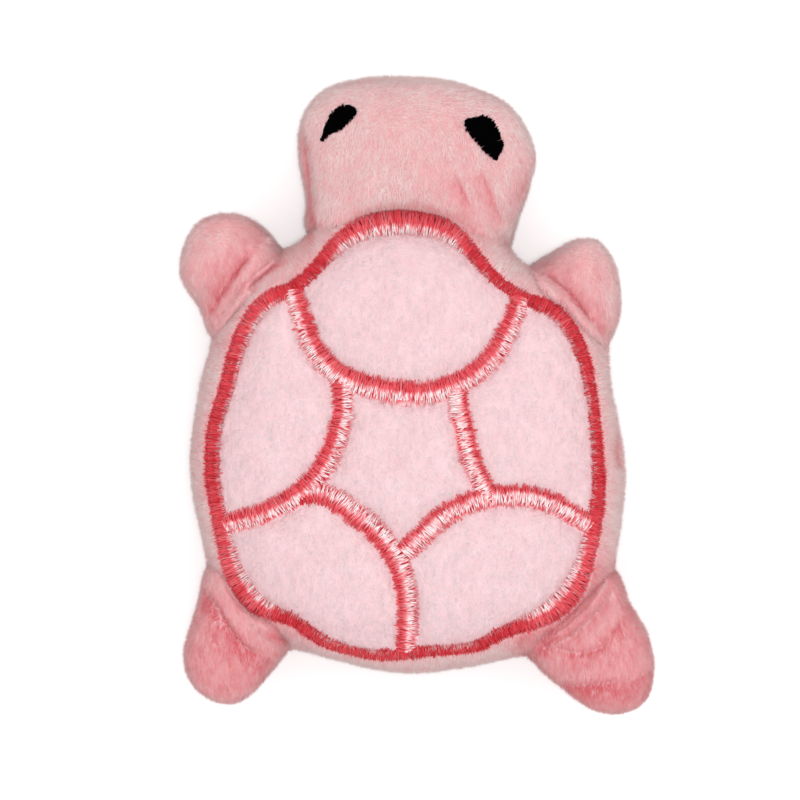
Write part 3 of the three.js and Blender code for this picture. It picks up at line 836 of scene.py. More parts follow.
def stitch_template(sides: int = 5, steps: int = 6) -> tuple[np.ndarray, list[list[int]]]:
    """Models one stitch of thread as a round bar along Z from -0.5 to 0.5.

    Args:
        sides: How many sides the thread has.
        steps: How many lengths it is extruded in.

    Returns:
        Its vertices and its faces.
    """
    bpy.ops.object.select_all(action="DESELECT")
    bpy.ops.mesh.primitive_circle_add(vertices=sides, radius=0.5, fill_type="NGON", location=(0, 0, -0.5))
    thread = bpy.context.active_object
    bpy.ops.object.transform_apply(location=True, rotation=False, scale=False)
    bpy.ops.object.mode_set(mode="EDIT")
    bpy.ops.mesh.select_all(action="SELECT")
    for _ in range(steps):
        bpy.ops.mesh.extrude_region_move(TRANSFORM_OT_translate={"value": (0, 0, 1 / steps)})
    bpy.ops.mesh.select_all(action="SELECT")
    bpy.ops.mesh.normals_make_consistent(inside=False)
    bpy.ops.object.mode_set(mode="OBJECT")
    return take_shape(thread)


def take_shape(piece: bpy.types.Object) -> tuple[np.ndarray, list[list[int]]]:
    """Takes a modelled shape's vertices and faces, and removes the piece."""
    places = np.array([tuple(vertex.co) for vertex in piece.data.vertices])
    faces = [list(face.vertices) for face in piece.data.polygons]
    bpy.data.objects.remove(piece)
    return places, faces


def repeated_faces(faces: list[list[int]], corners: int, copies: int, uv: np.ndarray) -> tuple[list, list]:
    """The faces and map places of many copies of one shape.

    Args:
        faces: The shape's faces.
        corners: How many vertices the shape has.
        copies: How many copies there are.
        uv: Map places, by copy and then by vertex of the shape.

    Returns:
        Face arrays grouped by their number of corners, and their map places.
    """
    shift = np.arange(copies)[:, None, None] * corners
    blocks, maps = [], []
    for size in sorted({len(face) for face in faces}):
        shape = np.array([face for face in faces if len(face) == size])
        blocks.append((shape[None] + shift).reshape(-1, size))
        maps.append(uv[:, shape].reshape(-1, size, 2))
    return blocks, maps


@dataclass(frozen=True)
class Pile:
    """A pile of fibres on a cloth: how long, wide and dense they are and how they lie."""

    length: float  # millimetres
    width: float
    lean: float = 71.0  # how far the fibres lie over, in degrees
    nap: tuple[float, float, float] = (0.0, -1.0, -0.2)  # the way that the cloth was brushed
    fall: float = 0.25  # how steep a slope must be before they turn down it instead
    tousle: float = 0.3  # how far tufts of fibres turn together
    stray: float = 0.22  # how far each fibre turns by itself
    tuft: tuple[float, float, float] = (0.6, 1.5, 0.9)  # a tuft's size in millimetres
    grain: float = 0.13  # how far the tone of tufts and fibres varies
    rooted: float = 0.12  # how deep in the cloth a fibre starts
    lean_spread: float = 0.12  # how far fibres lean differently, in radians
    tuft_lean: float = 0.16
    length_spread: float = 0.18
    width_range: tuple[float, float] = (0.75, 1.25)

    def grow(
        self,
        name: str,
        skin: bpy.types.Object,
        density: Callable[[np.ndarray, np.ndarray], np.ndarray],
        tone: Callable[[np.ndarray, np.ndarray], np.ndarray],
        seed: int,
    ) -> bpy.types.Object:
        """Grows the pile on a cloth.

        Args:
            name: The piece's name.
            skin: The cloth.
            density: Fibres for each square millimetre, from places and outward directions.
            tone: Each fibre's tone from 0 to 1, from places and outward directions.
            seed: Seeds the random draws.

        Returns:
            The pile, as one mesh of blades.
        """
        rng = np.random.default_rng(seed)
        root, normal, draws = scatter(skin, density, rng)
        total = len(root)
        up = np.array([0.0, 0.0, 1.0])
        level = normal[:, 2:]
        grain = root / np.array(self.tuft)
        tufts = np.column_stack([drift(grain, 1.0, shift) for shift in (0.0, 17.0, 31.0)])
        brushed = np.array(self.nap) - (normal @ np.array(self.nap))[:, None] * normal
        # Fibres turn down a steep side, and lie across a slope that climbs against the nap
        down = unit(level * normal - up)
        turn = eased((1 - np.abs(level) - self.fall) / 0.4)
        aside = unit(np.cross(up, normal))
        aside = aside * np.sign(aside @ np.array(self.nap) + 0.15 * draws.normal()[:, 0])[:, None]
        uphill = 0.85 * eased(unit(brushed)[:, 2:] * np.sign(level) / 0.55)
        flow = (1 - turn) * ((1 - uphill) * unit(brushed) + uphill * aside) + turn * down
        flow = flow + self.tousle * tufts + self.stray * draws.normal(3)
        flow = unit(flow - (flow * normal).sum(axis=1, keepdims=True) * normal)
        lean = np.radians(self.lean) * (0.55 + 0.45 * eased((np.abs(level) - 0.1) / 0.5))
        lean = lean + self.lean_spread * draws.normal() + self.tuft_lean * tufts[:, :1]
        # Each blade's face looks outward and, on the sides, upward
        lie = np.cos(lean) * normal + np.sin(lean) * flow
        open_side = normal + 0.8 * eased(level + 0.5) * up
        side = unit(np.cross(lie, open_side + 0.3 * draws.normal(3)))
        face = np.cross(side, lie)
        side = np.where(((face * open_side).sum(axis=1) < 0)[:, None], -side, side)
        shape, faces = fibre_template()
        length = self.length * (1 + self.length_spread * draws.normal()[:, 0]).clip(0.5, 1.5)
        thin, thick = self.width_range
        width = self.width * (thin + (thick - thin) * draws.even()[:, 0])
        across, along = shape[:, 0], shape[:, 1]
        blades = (
            (root - self.rooted * normal)[:, None]
            + side[:, None] * (across[None, :, None] * width[:, None, None])
            + lie[:, None] * (along[None, :, None] * length[:, None, None])
        )
        shade = tone(root, normal) + self.grain * (drift(grain, 1.0, 8.0) + 0.6 * draws.normal()[:, 0])
        shade = np.clip(shade, 0.02, 0.98)
        uv = np.empty((total, len(shape), 2))
        uv[:, :, 0] = np.clip(shade[:, None] + 0.01 * np.sign(across)[None, :], 0.001, 0.999)
        uv[:, :, 1] = 0.02 + 0.96 * np.clip(along, 0, 1)[None, :]
        blocks, maps = repeated_faces(faces, len(shape), total, uv)
        blades[:, :, 2] = np.maximum(blades[:, :, 2], 0.03)
        pile = build_mesh(name, blades.reshape(-1, 3), blocks, maps)
        # Shaded as the cloth is, with a little of each fibre's own direction
        lit = unit(normal + 0.16 * draws.normal(3) + 0.2 * lie)
        pile.data.normals_split_custom_set_from_vertices(np.repeat(lit, len(shape), axis=0))
        LOG.info("%s: %d fibres", name, total)
        return pile


@dataclass
class Draws:
    """Random numbers for fibres.

    Each place on each triangle has its own, so a fibre more or less on one changes none on the others.
    """

    rng: np.random.Generator
    places: int  # how many fibres the cloth could hold
    taken: np.ndarray  # which of these places have a fibre

    def normal(self, columns: int = 1) -> np.ndarray:
        """Normally spread numbers, one row for each fibre."""
        return self.rng.standard_normal((self.places, columns))[self.taken]

    def even(self, columns: int = 1) -> np.ndarray:
        """Numbers spread evenly from 0 to 1, one row for each fibre."""
        return self.rng.random((self.places, columns))[self.taken]


def scatter(
    skin: bpy.types.Object,
    density: Callable[[np.ndarray, np.ndarray], np.ndarray],
    rng: np.random.Generator,
) -> tuple[np.ndarray, np.ndarray, Draws]:
    """Draws places all over a cloth.

    Args:
        skin: The cloth.
        density: How many for each square millimetre, from places and outward directions.
        rng: The source of the random draws.

    Returns:
        The places in millimetres, the cloth's outward direction at each, and their random numbers.
    """
    mesh = skin.data
    mesh.calc_loop_triangles()
    corners = np.empty(len(mesh.loop_triangles) * 3, np.int32)
    mesh.loop_triangles.foreach_get("vertices", corners)
    corners = corners.reshape(-1, 3)
    places, outward = coordinates(skin), vertex_normals(skin)
    a, b, c = (places[corners[:, i]] for i in range(3))
    area = np.linalg.norm(np.cross(b - a, c - a), axis=1) / 2
    facing = unit(outward[corners].sum(axis=1))
    mean = area * density((a + b + c) / 3, facing)
    chance, share = rng.random(len(area)), np.exp(-mean)
    counts, reached = np.zeros(len(area), int), share.copy()
    for number in range(1, MOST_FIBRES + 1):
        counts += chance > reached
        share = share * mean / number
        reached += share
    chosen = np.repeat(np.arange(len(area)), counts)
    nth = np.arange(len(chosen)) - np.repeat(np.cumsum(counts) - counts, counts)
    draws = Draws(rng, len(area) * MOST_FIBRES, chosen * MOST_FIBRES + nth)
    first, second = draws.even(), draws.even()
    over = first + second > 1
    first, second = np.where(over, 1 - first, first), np.where(over, 1 - second, second)
    drawn = a[chosen] + first * (b - a)[chosen] + second * (c - a)[chosen]
    n0, n1, n2 = (outward[corners[chosen, i]] for i in range(3))
    LOG.info("%s: at most %d of %d fibres on a triangle", skin.name, counts.max(), MOST_FIBRES)
    return drawn, unit(n0 + first * (n1 - n0) + second * (n2 - n0)), draws


@dataclass(frozen=True)
class SatinStitch:
    """Satin stitch: threads laid side by side across a line, arched over the cloth."""

    pitch: float = 0.16  # millimetres between threads
    thread: float = 0.31
    lift: float = 0.6  # how far the middle of a stitch stands over the cloth
    over: float = 0.15  # how far a stitch reaches past the edge that is seen, because its end dips in
    ragged: float = 0.27  # how uneven the edges are
    stray: float = 0.15  # how far each stitch is turned, in radians
    wave: float = 0.09  # how far a thread swings aside on its way
    end_dip: float = 0.15  # how far a thread's ends sink into the cloth
    full_width: float = 4.2  # stitches of this width have the whole lift
    dull: float = 0.13  # the tone of a thread without painted light
    painted_glint_from: float = 2.9  # narrower stitches get no painted glint, and their red is painted deeper as shade
    painted_glint_over: float = 1.2  # over how much more width the painted glint and the paler red come to their full strength
    sides: int = 4
    steps: int = 7

    def sew(
        self,
        name: str,
        centres: np.ndarray,
        across: np.ndarray,
        width: np.ndarray,
        surface: Callable[[np.ndarray], tuple[np.ndarray, np.ndarray]],
        seed: int,
        level: tuple[float, float] = (0.0, 0.0),
    ) -> bpy.types.Object:
        """Sews threads at the given centres.

        Args:
            name: The piece's name.
            centres: The middle of each stitch, seen from above.
            across: The direction of each stitch, seen from above.
            width: How wide the stitching is at each stitch, seen from above.
            surface: From places seen from above to cloth places and outward directions.
            seed: Seeds the random draws.
            level: Where a painted glint is laid on the threads, where they lie level, from -1 on the left of
                the
            line to 1 on its right, and how far that reaches to each side.

        Returns:
            The stitching, as one mesh.
        """
        rng = np.random.default_rng(seed)
        shape, faces = stitch_template(self.sides, self.steps)
        ring_of = np.round((shape[:, 2] + 0.5) * self.steps).astype(int)
        total = len(centres)
        turn = rng.normal(0, self.stray, total)
        cos, sin = np.cos(turn), np.sin(turn)
        across = np.column_stack([
            across[:, 0] * cos - across[:, 1] * sin, across[:, 0] * sin + across[:, 1] * cos,
        ])
        along = np.column_stack([-across[:, 1], across[:, 0]])
        shift = rng.normal(0, 0.5 * self.ragged, total)
        half = width / 2 + self.over + rng.normal(0, 0.6 * self.ragged, total)
        thick = self.thread * rng.uniform(0.85, 1.1, total)
        # Along each stitch the run goes from -1 at its left end to 1 at its right end
        run = shape[:, 2][None, :] * 2
        taper = np.sqrt(np.clip(1 - 0.8 * run**4, 0.1, 1))
        wave = self.wave * np.sin(2.2 * run + rng.uniform(0, 6.3, total)[:, None])
        step = shape[:, 0][None, :] * thick[:, None] * taper + wave
        reach = run * half[:, None] + shift[:, None]
        seen = centres[:, None] + across[:, None] * reach[:, :, None] + along[:, None] * step[:, :, None]
        cloth, outward = surface(seen.reshape(-1, 2))
        lift = self.lift * np.clip(2 * half / self.full_width, 0.6, 1.2) + rng.normal(0, 0.07, total)
        arch = (1 - np.abs(run) ** 2.6) * lift[:, None] - self.end_dip * run**4
        stand = arch + shape[:, 1][None, :] * thick[:, None] * 0.8 * taper
        places = cloth + unit(outward + [0, 0, 1]) * stand.reshape(-1)[:, None]
        # A painted glint: pale tones laid on the threads where they lie level, brightest on each thread's
        # upper side and each a little differently along its length. Wide stitching also gets a paler red as
        # painted light, narrow stitching a deeper red as painted shade.
        full = eased((width - self.painted_glint_from) / self.painted_glint_over)
        middle, spread = level
        painted_glint_zone = spread * full + 1e-6
        painted_glint = eased(1.5 - np.abs(run - middle) / painted_glint_zone[:, None]) * (full * min(spread * 9, 1.0))[:, None]
        painted_glint = painted_glint * rng.uniform(0.5, 1.2, (total, 1))
        painted_glint = painted_glint * rng.uniform(0.0, 1.7, (total, 1 + self.steps))[:, ring_of]
        base = self.dull + 0.15 * full + 0.05 * rng.normal(size=total)
        uv = np.empty((total, len(shape), 2))
        uv[:, :, 0] = base[:, None] + (0.5 + 0.9 * shape[:, 1]) * painted_glint
        uv[:, :, 0] = np.clip(uv[:, :, 0] + 0.02 * np.sign(shape[:, 0])[None, :], 0.01, 0.99)
        uv[:, :, 1] = 0.5 + 0.48 * run
        blocks, maps = repeated_faces(faces, len(shape), total, uv)
        LOG.info("%s: %d stitches", name, total)
        return build_mesh(name, places, blocks, maps)


def rightward(line: np.ndarray, closed: bool) -> np.ndarray:
    """The direction to the right of a line at each of its points."""
    line = line[:, :2]
    run = unit(np.roll(line, -1, axis=0) - np.roll(line, 1, axis=0) if closed else np.gradient(line, axis=0))
    return np.column_stack([run[:, 1], -run[:, 0]])


def line_length(line: np.ndarray) -> float:
    """The length of a line, in millimetres."""
    return float(np.linalg.norm(np.diff(line[:, :2], axis=0), axis=1).sum())


@dataclass(frozen=True)
class Relief:
    """Levels over a square grid seen from above, read smoothly in between."""

    corner: tuple[float, float]
    cell: float
    levels: np.ndarray

    def level(self, seen: np.ndarray) -> np.ndarray:
        """The level at each place seen from above, in millimetres."""
        at = (seen[:, :2] - self.corner) / self.cell
        at = np.clip(at, 0, np.array(self.levels.shape) - 1.001)
        cell = at.astype(int)
        x, y = (at - cell).T
        i, j = cell.T
        low = self.levels[i, j] * (1 - x) + self.levels[i + 1, j] * x
        high = self.levels[i, j + 1] * (1 - x) + self.levels[i + 1, j + 1] * x
        return low * (1 - y) + high * y

    def surface(self, seen: np.ndarray) -> tuple[np.ndarray, np.ndarray]:
        """Places on the relief and its outward directions, for places seen from above."""
        seen = seen[:, :2]
        step = self.cell
        slope_x = (self.level(seen + [step, 0]) - self.level(seen - [step, 0])) / (2 * step)
        slope_y = (self.level(seen + [0, step]) - self.level(seen - [0, step])) / (2 * step)
        outward = unit(np.column_stack([-slope_x, -slope_y, np.ones(len(seen))]))
        return np.column_stack([seen, self.level(seen)]), outward

    @staticmethod
    def over(low: tuple[float, float], high: tuple[float, float], cell: float, rule: Callable) -> "Relief":
        """Fills a relief from a rule that gives the levels of places seen from above."""
        xs, ys = np.arange(low[0], high[0], cell), np.arange(low[1], high[1], cell)
        grid = np.stack(np.meshgrid(xs, ys, indexing="ij"), axis=-1).reshape(-1, 2)
        return Relief(low, cell, rule(grid).reshape(len(xs), len(ys)))


@dataclass
class Shell:
    """The quilted shell: pale plush that puffs up between bands of satin stitch."""

    torso: StuffedForm
    puff: float = 1.9  # how far the scutes stand over the torso's form, in millimetres
    sink: float = 1.4  # how far the stitching draws the cloth down
    reach: float = 8.0  # how far in from the stitching a scute still rises
    depth: float = 4.6  # how far its underside lies below the torso's form in the middle
    edge_depth: float = 0.6
    inset: float = 0.25  # how much lower the cloth starts than the relief
    most_swell: float = 0.8
    lump: float = 0.2
    pucker: float = 0.12
    facets: tuple[int, int] = (144, 88)

    def __post_init__(self) -> None:
        """Draws the embroidered lines, the shell's outline and its relief."""
        self.border = smooth_line(BORDER_LINE, 240, True)
        self.lines = {name: smooth_line(line, 48, False) for name, line in SCUTE_LINES.items()}
        # Only this form's outline counts, because the relief gives the heights
        self.form = StuffedForm(
            "shell", tuple(map(tuple, self.border[::3, :2])), self.torso.middle, rise=10, drop=1,
            fullness=self.torso.fullness,
        )
        low, high = (-58, -78), (58, 78)
        fine, coarse = 0.25, 0.4
        self.border_map = Relief.over(low, high, fine, lambda seen: distance_to(ring(self.border), seen))
        self.line_map = Relief.over(low, high, fine, lambda seen: np.minimum.reduce([
            distance_to(line, seen) for line in self.lines.values()
        ]))
        self.relief = Relief.over(low, high, coarse, self.height)

    def clear(self, seen: np.ndarray) -> np.ndarray:
        """Distance from places seen from above to the edge of the nearest stitching."""
        return np.minimum(self.border_map.level(seen), self.line_map.level(seen))

    def clear_of_border(self, seen: np.ndarray) -> np.ndarray:
        """Distance to the border's edge: above 0 outside it, and below 0 under it and inside it."""
        away = self.border_map.level(seen)
        return np.where(self.form.share_out(seen) > 1, away, np.minimum(-away, -0.1))

    def height(self, seen: np.ndarray) -> np.ndarray:
        """The level of the cloth at places seen from above, in millimetres."""
        level = SEAM_Z + self.torso.rise * self.torso.swell(seen) - PALE_NAP - self.sink
        rise = np.ones(len(seen))
        for line in (ring(self.border), *self.lines.values()):
            clear = np.clip((distance_to(line, seen) + 0.3) / self.reach, 0, 1)
            rise = rise * np.sqrt(np.clip(1 - (1 - clear) ** 2, 0, 1))
        return level + (self.sink + self.puff) * rise

    def make(self, cloth: bpy.types.Material, pile: bpy.types.Material, thread: bpy.types.Material) -> None:
        """Models the pale cloth, its pile and the embroidery."""
        skin = start_ball("shell_cloth", *self.facets)
        ball = coordinates(skin) * MM
        places = self.form.shaped(ball, 0.0)
        top = ball[:, 2] > -1e-6
        clear = self.clear(places)
        under = SEAM_Z + (self.torso.rise - self.depth) * self.torso.swell(places) - self.edge_depth
        places[:, 2] = np.where(top, self.relief.level(places) - self.inset * eased(clear / 4), under)
        move_vertices(skin, places)
        inflate(skin, self.most_swell, np.where(top, 1 - eased(clear / 0.8), 1.0))
        refine(skin, 1)
        places, outward = coordinates(skin), vertex_normals(skin)
        clear = self.clear(places)
        puckers = self.pucker * drift(places, 1.7, 2.0) * np.exp(-(((clear - 0.8) / 1.6) ** 2))
        lumps = self.lump * drift(places, 8.0, 5.0) * eased(clear / 4) + puckers
        places = places + outward * np.where(outward[:, 2] > 0, lumps, 0)[:, None]
        move_vertices(skin, places)
        mark(skin, "sewn", eased((0.05 - clear) / 0.3))
        skin.data.materials.append(cloth)
        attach(skin, "crown")
        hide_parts("shell_panel")

        def density(place: np.ndarray, outward: np.ndarray) -> np.ndarray:
            fibres = np.where(outward[:, 2] > 0.05, SHELL_FIBRES, 0.0)
            return fibres * np.clip((self.clear(place) - 0.05) / 0.2, 0, 1)

        def tone(place: np.ndarray, outward: np.ndarray) -> np.ndarray:
            clear = self.clear(place)
            rows = 0.04 * np.sin(2 * math.pi * place[:, 0] / 0.9)
            side = 1 - np.clip(outward[:, 2], 0, 1)
            # Deeper beside the stitching and on sloping sides as painted shade; the drift and the knitted
            # rows are the cloth's own tone
            return 0.25 + 0.45 * np.exp(-clear / 0.9) + 0.5 * side + 0.1 * drift(place, 5.0, 4.0) + rows

        fur = Pile(length=0.9, width=0.12, grain=0.1).grow("shell_pile", skin, density, tone, SEED + 1)
        fur.data.materials.append(pile)
        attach(fur, "crown")
        self.embroider(thread)

    def embroider(self, thread: bpy.types.Material) -> None:
        """Sews the border and the lines between the scutes."""
        # Where a painted glint lies on each run's threads, where they lie level, and how far it reaches, as
        # sew takes it
        levels = {
            "border_stitch": (0.8, 0.42),
            "neck_scute_stitch": (0.5, 0.45),
            "left_scute_stitch": (-0.5, 0.42),
            "right_scute_stitch": (0.25, 0.55),
            "rear_right_scute_stitch": (-0.25, 0.5),
            "rear_left_scute_stitch": (-0.4, 0.45),
        }
        for index, (name, level) in enumerate(levels.items()):
            closed = name not in SCUTE_LINES
            points = BORDER_LINE if closed else SCUTE_LINES[name]
            satin = SatinStitch() if closed else SatinStitch(over=0.32)
            line = smooth_line(points, 400, closed)
            count = int(line_length(ring(line) if closed else line) / satin.pitch)
            centres = smooth_line(points, count, closed)
            across = rightward(centres, closed)
            if not closed:
                inside = self.clear_of_others(name, centres)
                centres, across = centres[inside], across[inside]
            sewing = satin.sew(
                f"{name}ing", centres[:, :2], across, centres[:, 2], self.relief.surface, SEED + 20 + index,
                level,
            )
            sewing.data.materials.append(thread)
            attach(sewing, "crown")
            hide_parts(name)

    def clear_of_others(self, name: str, centres: np.ndarray) -> np.ndarray:
        """Which stitches of a run stand clear of the border and of the runs that were sewn before it."""
        clear = (distance_to(ring(self.border), centres) > -1.0) & (self.form.share_out(centres) < 1)
        for other, line in self.lines.items():
            if other == name:
                break
            clear &= distance_to(line, centres) > -1.8
        return clear


@dataclass(frozen=True)
class Eye:
    """An eye in black satin stitch between two edges, seen from above."""

    name: str
    inner: Points
    outer: Points

    def covers(self, places: np.ndarray) -> np.ndarray:
        """Whether each place lies under the eye, seen from above."""
        inner, outer = (smooth_line(edge, 24, False) for edge in (self.inner, self.outer))
        edge = ring(np.vstack([inner, outer[::-1]]))
        odd = np.zeros(len(places), bool)
        for (x0, y0), (x1, y1) in zip(edge, edge[1:]):
            spans = (y0 > places[:, 1]) != (y1 > places[:, 1])
            odd ^= spans & (places[:, 0] < x0 + (places[:, 1] - y0) * (x1 - x0) / (y1 - y0 + 1e-12))
        return odd

    def sew(self, surface: Callable, thread: bpy.types.Material, seed: int) -> None:
        """Sews the eye onto the head."""
        satin = SatinStitch(pitch=0.1, thread=0.36, lift=0.9, ragged=0.2, stray=0.1, over=0.1)
        length = line_length(np.array(self.outer))
        count = int(length / satin.pitch)
        inner, outer = (smooth_line(edge, count, False) for edge in (self.inner, self.outer))
        centres, span = (inner + outer) / 2, outer - inner
        width = np.linalg.norm(span, axis=1)
        steady = unit(span.mean(axis=0)[None])
        across = unit(span + 0.15 * steady)
        sewing = satin.sew(f"{self.name}_stitching", centres, across, width, surface, seed)
        sewing.data.materials.append(thread)
        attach(sewing, "head")
        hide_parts(self.name)


@dataclass(frozen=True)
class PinkShades:
    """How much deeper the pink pile is in places, as shares of the ramp of its tones, and how far round:
    random patches and spots, deeper towards the bottom, and painted shade.
    """

    patch: float = 0.1
    patch_size: float = 6.0
    spot: float = 0.06
    spot_size: float = 2.2
    underside: float = 0.1
    # The rest are painted shade: in folds, where a limb meets the torso, and beside the border's edge
    fold: float = 0.75
    joint: float = 0.2
    joint_reach: float = 1.5
    edge: float = 0.12
    edge_reach: float = 0.6


SHADES = PinkShades()


@dataclass
class Turtle:
    """The whole toy: its stuffed forms, its shell, its embroidery and what it holds."""

    torso: StuffedForm = field(init=False)
    shell: Shell = field(init=False)
    head: StuffedForm = field(init=False)
    legs: list[StuffedForm] = field(init=False)
    eyes: tuple[Eye, ...] = field(init=False)
    bends: dict[str, tuple[tuple[float, float], float]] = field(init=False)

    def __post_init__(self) -> None:
        """Sets out the forms with the folds that their stuffing leaves."""
        self.torso = StuffedForm(
            "torso", TORSO_OUTLINE, (-2, -12), rise=21, drop=15.5, fullness=2.8,
            nodes=("torso_back_panel", "torso_belly_panel"), facets=(72, 44), depth=0.25, tuck=1.3,
            folds=(
                Fold(((43.3, -6.8), (42.5, -12), (42.9, -14.7), (44.7, -17.6)), 1.2, Side.LEFT, 3.5),
                Fold(((-33.8, -50.7), (-29.7, -52.5), (-27, -53.4)), 0.8),
            ),
        )
        self.shell = Shell(self.torso)
        self.head = StuffedForm(
            "head", HEAD_OUTLINE, (0, 52), rise=15, drop=13, fullness=2.2,
            nodes=("head_top_panel", "head_under_panel"), facets=(52, 34), depth=0.22, tuck=1.2,
            folds=(
                Fold(((7.6, 49.5), (9.6, 45.5), (12.4, 39.5)), 0.8, Side.RIGHT, 3.4),
                Fold(((13.3, 50.5), (15.6, 45), (19, 36.5)), 0.8, Side.RIGHT, 3.6),
                Fold(((-24.4, 58), (-23.3, 47), (-22.2, 36)), 1.0, Side.RIGHT, 5.0),
                Fold(((24.4, 50), (22.6, 45), (20.4, 40.5)), 0.45, Side.BOTH, 6.0),
            ),
        )
        self.legs = [
            self.leg(
                "front_left_leg", FRONT_LEFT_OUTLINE, (-41, 28), depth=0.36, shoulder=0.6,
                folds=(
                    Fold(((-35.3, 31.5), (-40, 25.5), (-45.6, 17)), 1.7, Side.RIGHT, 5.0),
                    Fold(((-27.6, 28.8), (-32.3, 26.2), (-37.5, 22.6)), 1.2, Side.RIGHT, 2.5),
                ),
            ),
            self.leg(
                "front_right_leg", FRONT_RIGHT_OUTLINE, (35.5, 24), depth=0.3, shoulder=0.8,
                folds=(Fold(((26.8, 27), (32.4, 22.8), (38, 15.6)), 1.3, Side.LEFT, 4.5),),
            ),
            self.leg(
                "rear_left_leg", REAR_LEFT_OUTLINE, (-41, -54), depth=0.58, blush=2.5, shoulder=1.0,
                folds=(
                    Fold(
                        (
                            (-47, -41), (-45.4, -43.4), (-43.6, -45.6), (-41.7, -48.5), (-37.4, -54.3),
                            (-33.7, -56.2),
                        ),
                        1.6, Side.RIGHT, 5.0,
                    ),
                ),
            ),
            self.leg(
                "rear_right_leg", REAR_RIGHT_OUTLINE, (42, -57), depth=0.6, blush=9, shoulder=2.2,
                folds=(
                    Fold(((25.3, -55.8), (28.6, -54), (31.5, -52.5)), 0.8),
                    Fold(((29, -54.1), (35.4, -55.6), (43, -53.5)), 0.6, Side.RIGHT, 3.0),
                    Fold(((30.1, -62.3), (35.5, -62.8), (40.4, -62.4), (45, -61.2)), 0.75, Side.RIGHT, 4.5),
                    Fold(((44.3, -47), (43, -50.5), (37.3, -55)), 0.5, Side.LEFT, 4.0),
                ),
            ),
        ]
        self.eyes = (
            Eye(
                "left_eye",
                (
                    (-20.75, 55.3), (-19.55, 56.4), (-18.55, 57.1), (-16.65, 57.8), (-15.45, 58.9),
                    (-14.15, 60.3), (-13.35, 61.6),
                ),
                (
                    (-20.85, 55.4), (-20.25, 58.1), (-18.85, 61), (-17.35, 62.7), (-15.45, 63.1),
                    (-13.85, 62.6), (-13.25, 61.7),
                ),
            ),
            Eye(
                "right_eye",
                (
                    (10.4, 59.4), (10.8, 57.5), (11.9, 56.1), (13.2, 54.7), (14.2, 53.4), (15.7, 52.1),
                    (17.1, 51.2),
                ),
                (
                    (10.6, 59.8), (12.6, 60.4), (14.8, 60.7), (16.4, 59.7), (17.6, 57.5), (18.6, 54.3),
                    (17.2, 51.3),
                ),
            ),
        )
        # Where each limb bends, seen from above, and its heading away from the torso in degrees
        self.bends = {
            "head": ((0, 38), 90), "front_left_leg": ((-37, 25), 141), "front_right_leg": ((34.5, 19.5), 50),
            "rear_left_leg": ((-38, -48), 238), "rear_right_leg": ((35.5, -47.5), 310),
        }

    @staticmethod
    def leg(
        name: str, outline: Points, middle: tuple[float, float], folds: tuple[Fold, ...], **own: float,
    ) -> StuffedForm:
        """One leg's form, which has the height and the fullness of them all beside its own values."""
        nodes = (f"{name}_top_panel", f"{name}_under_panel")
        return StuffedForm(
            name, outline, middle, rise=10, drop=11, fullness=2.2, nodes=nodes, facets=(36, 24),
            folds=folds, lump=0.4, **own,
        )

    def make(self) -> None:
        """Models and dresses every piece."""
        pink_cloth, pink_pile = PINK_BACKING.material(), PINK_PILE.material()
        black_thread = BLACK_THREAD.material()
        self.make_torso(pink_cloth, pink_pile)
        self.shell.make(PALE_BACKING.material(), PALE_PILE.material(), ROSE_THREAD.material())
        for index, limb in enumerate([self.head, *self.legs]):
            self.make_limb(limb, pink_cloth, pink_pile, SEED + 40 + index)
        face = Relief.over((-28, 30), (28, 72), 0.4, self.face_height)
        for index, eye in enumerate(self.eyes):
            eye.sew(face.surface, black_thread, SEED + 60 + index)
        self.make_inside()

    def face_height(self, seen: np.ndarray) -> np.ndarray:
        """The level of the head's pile at places seen from above, in millimetres."""
        return SEAM_Z + (self.head.rise - 0.5) * self.head.swell(seen, 0.5)

    def pink_tone(self, place: np.ndarray, outward: np.ndarray) -> np.ndarray:
        """The tone of the pink pile: each limb's own beyond the torso, deeper towards the bottom, with
        painted shade in folds, at joints and beside the border.
        """
        tone = self.torso.depth + SHADES.patch * drift(place, SHADES.patch_size, 2.0)
        tone += SHADES.spot * drift(place, SHADES.spot_size, 6.0)
        tone += SHADES.underside * eased((SEAM_Z - place[:, 2]) / 6)
        beyond = self.torso.outside(place)
        folded = self.torso.shade(place)
        joint = np.zeros(len(place))
        for limb in (self.head, *self.legs):
            share = limb.share_out(place)
            on_limb = eased((1.3 - share) / 0.3) * eased((beyond + limb.blush) / 7)
            tone += (limb.depth - self.torso.depth) * on_limb
            folded = np.maximum(folded, limb.shade(place))
            # Painted shade where the limb meets the torso
            close = np.flatnonzero(share < 1.3)
            gap = np.hypot(limb.outside(place[close]), beyond[close])
            joint[close] = np.maximum(joint[close], np.exp(-gap / SHADES.joint_reach))
        # Painted shade in the crease beside the border's edge, on the upper side
        edge = np.exp(-np.maximum(self.shell.clear_of_border(place), 0) / SHADES.edge_reach)
        edge = edge * eased((place[:, 2] - SEAM_Z) / 4)
        return tone + SHADES.fold * folded + SHADES.joint * joint + SHADES.edge * edge

    def make_torso(self, cloth: bpy.types.Material, pile: bpy.types.Material) -> None:
        """Models the torso's pink plush, tucked down under the shell."""
        limbs = [self.head, *self.legs]

        def bare(place: np.ndarray) -> np.ndarray:
            hidden = (self.shell.clear_of_border(place) < -UNDER_BORDER) & (place[:, 2] > SEAM_Z + 3)
            for limb in limbs:
                hidden |= limb.holds(place, HIDDEN_DEPTH)
            return hidden

        def density(place: np.ndarray, outward: np.ndarray) -> np.ndarray:
            return np.where(bare(place) | (place[:, 2] < BELLY_TOP), 0.0, TORSO_FIBRES)

        def belly_density(place: np.ndarray, outward: np.ndarray) -> np.ndarray:
            return np.where(bare(place) | (place[:, 2] >= BELLY_TOP), 0.0, BELLY_FIBRES)

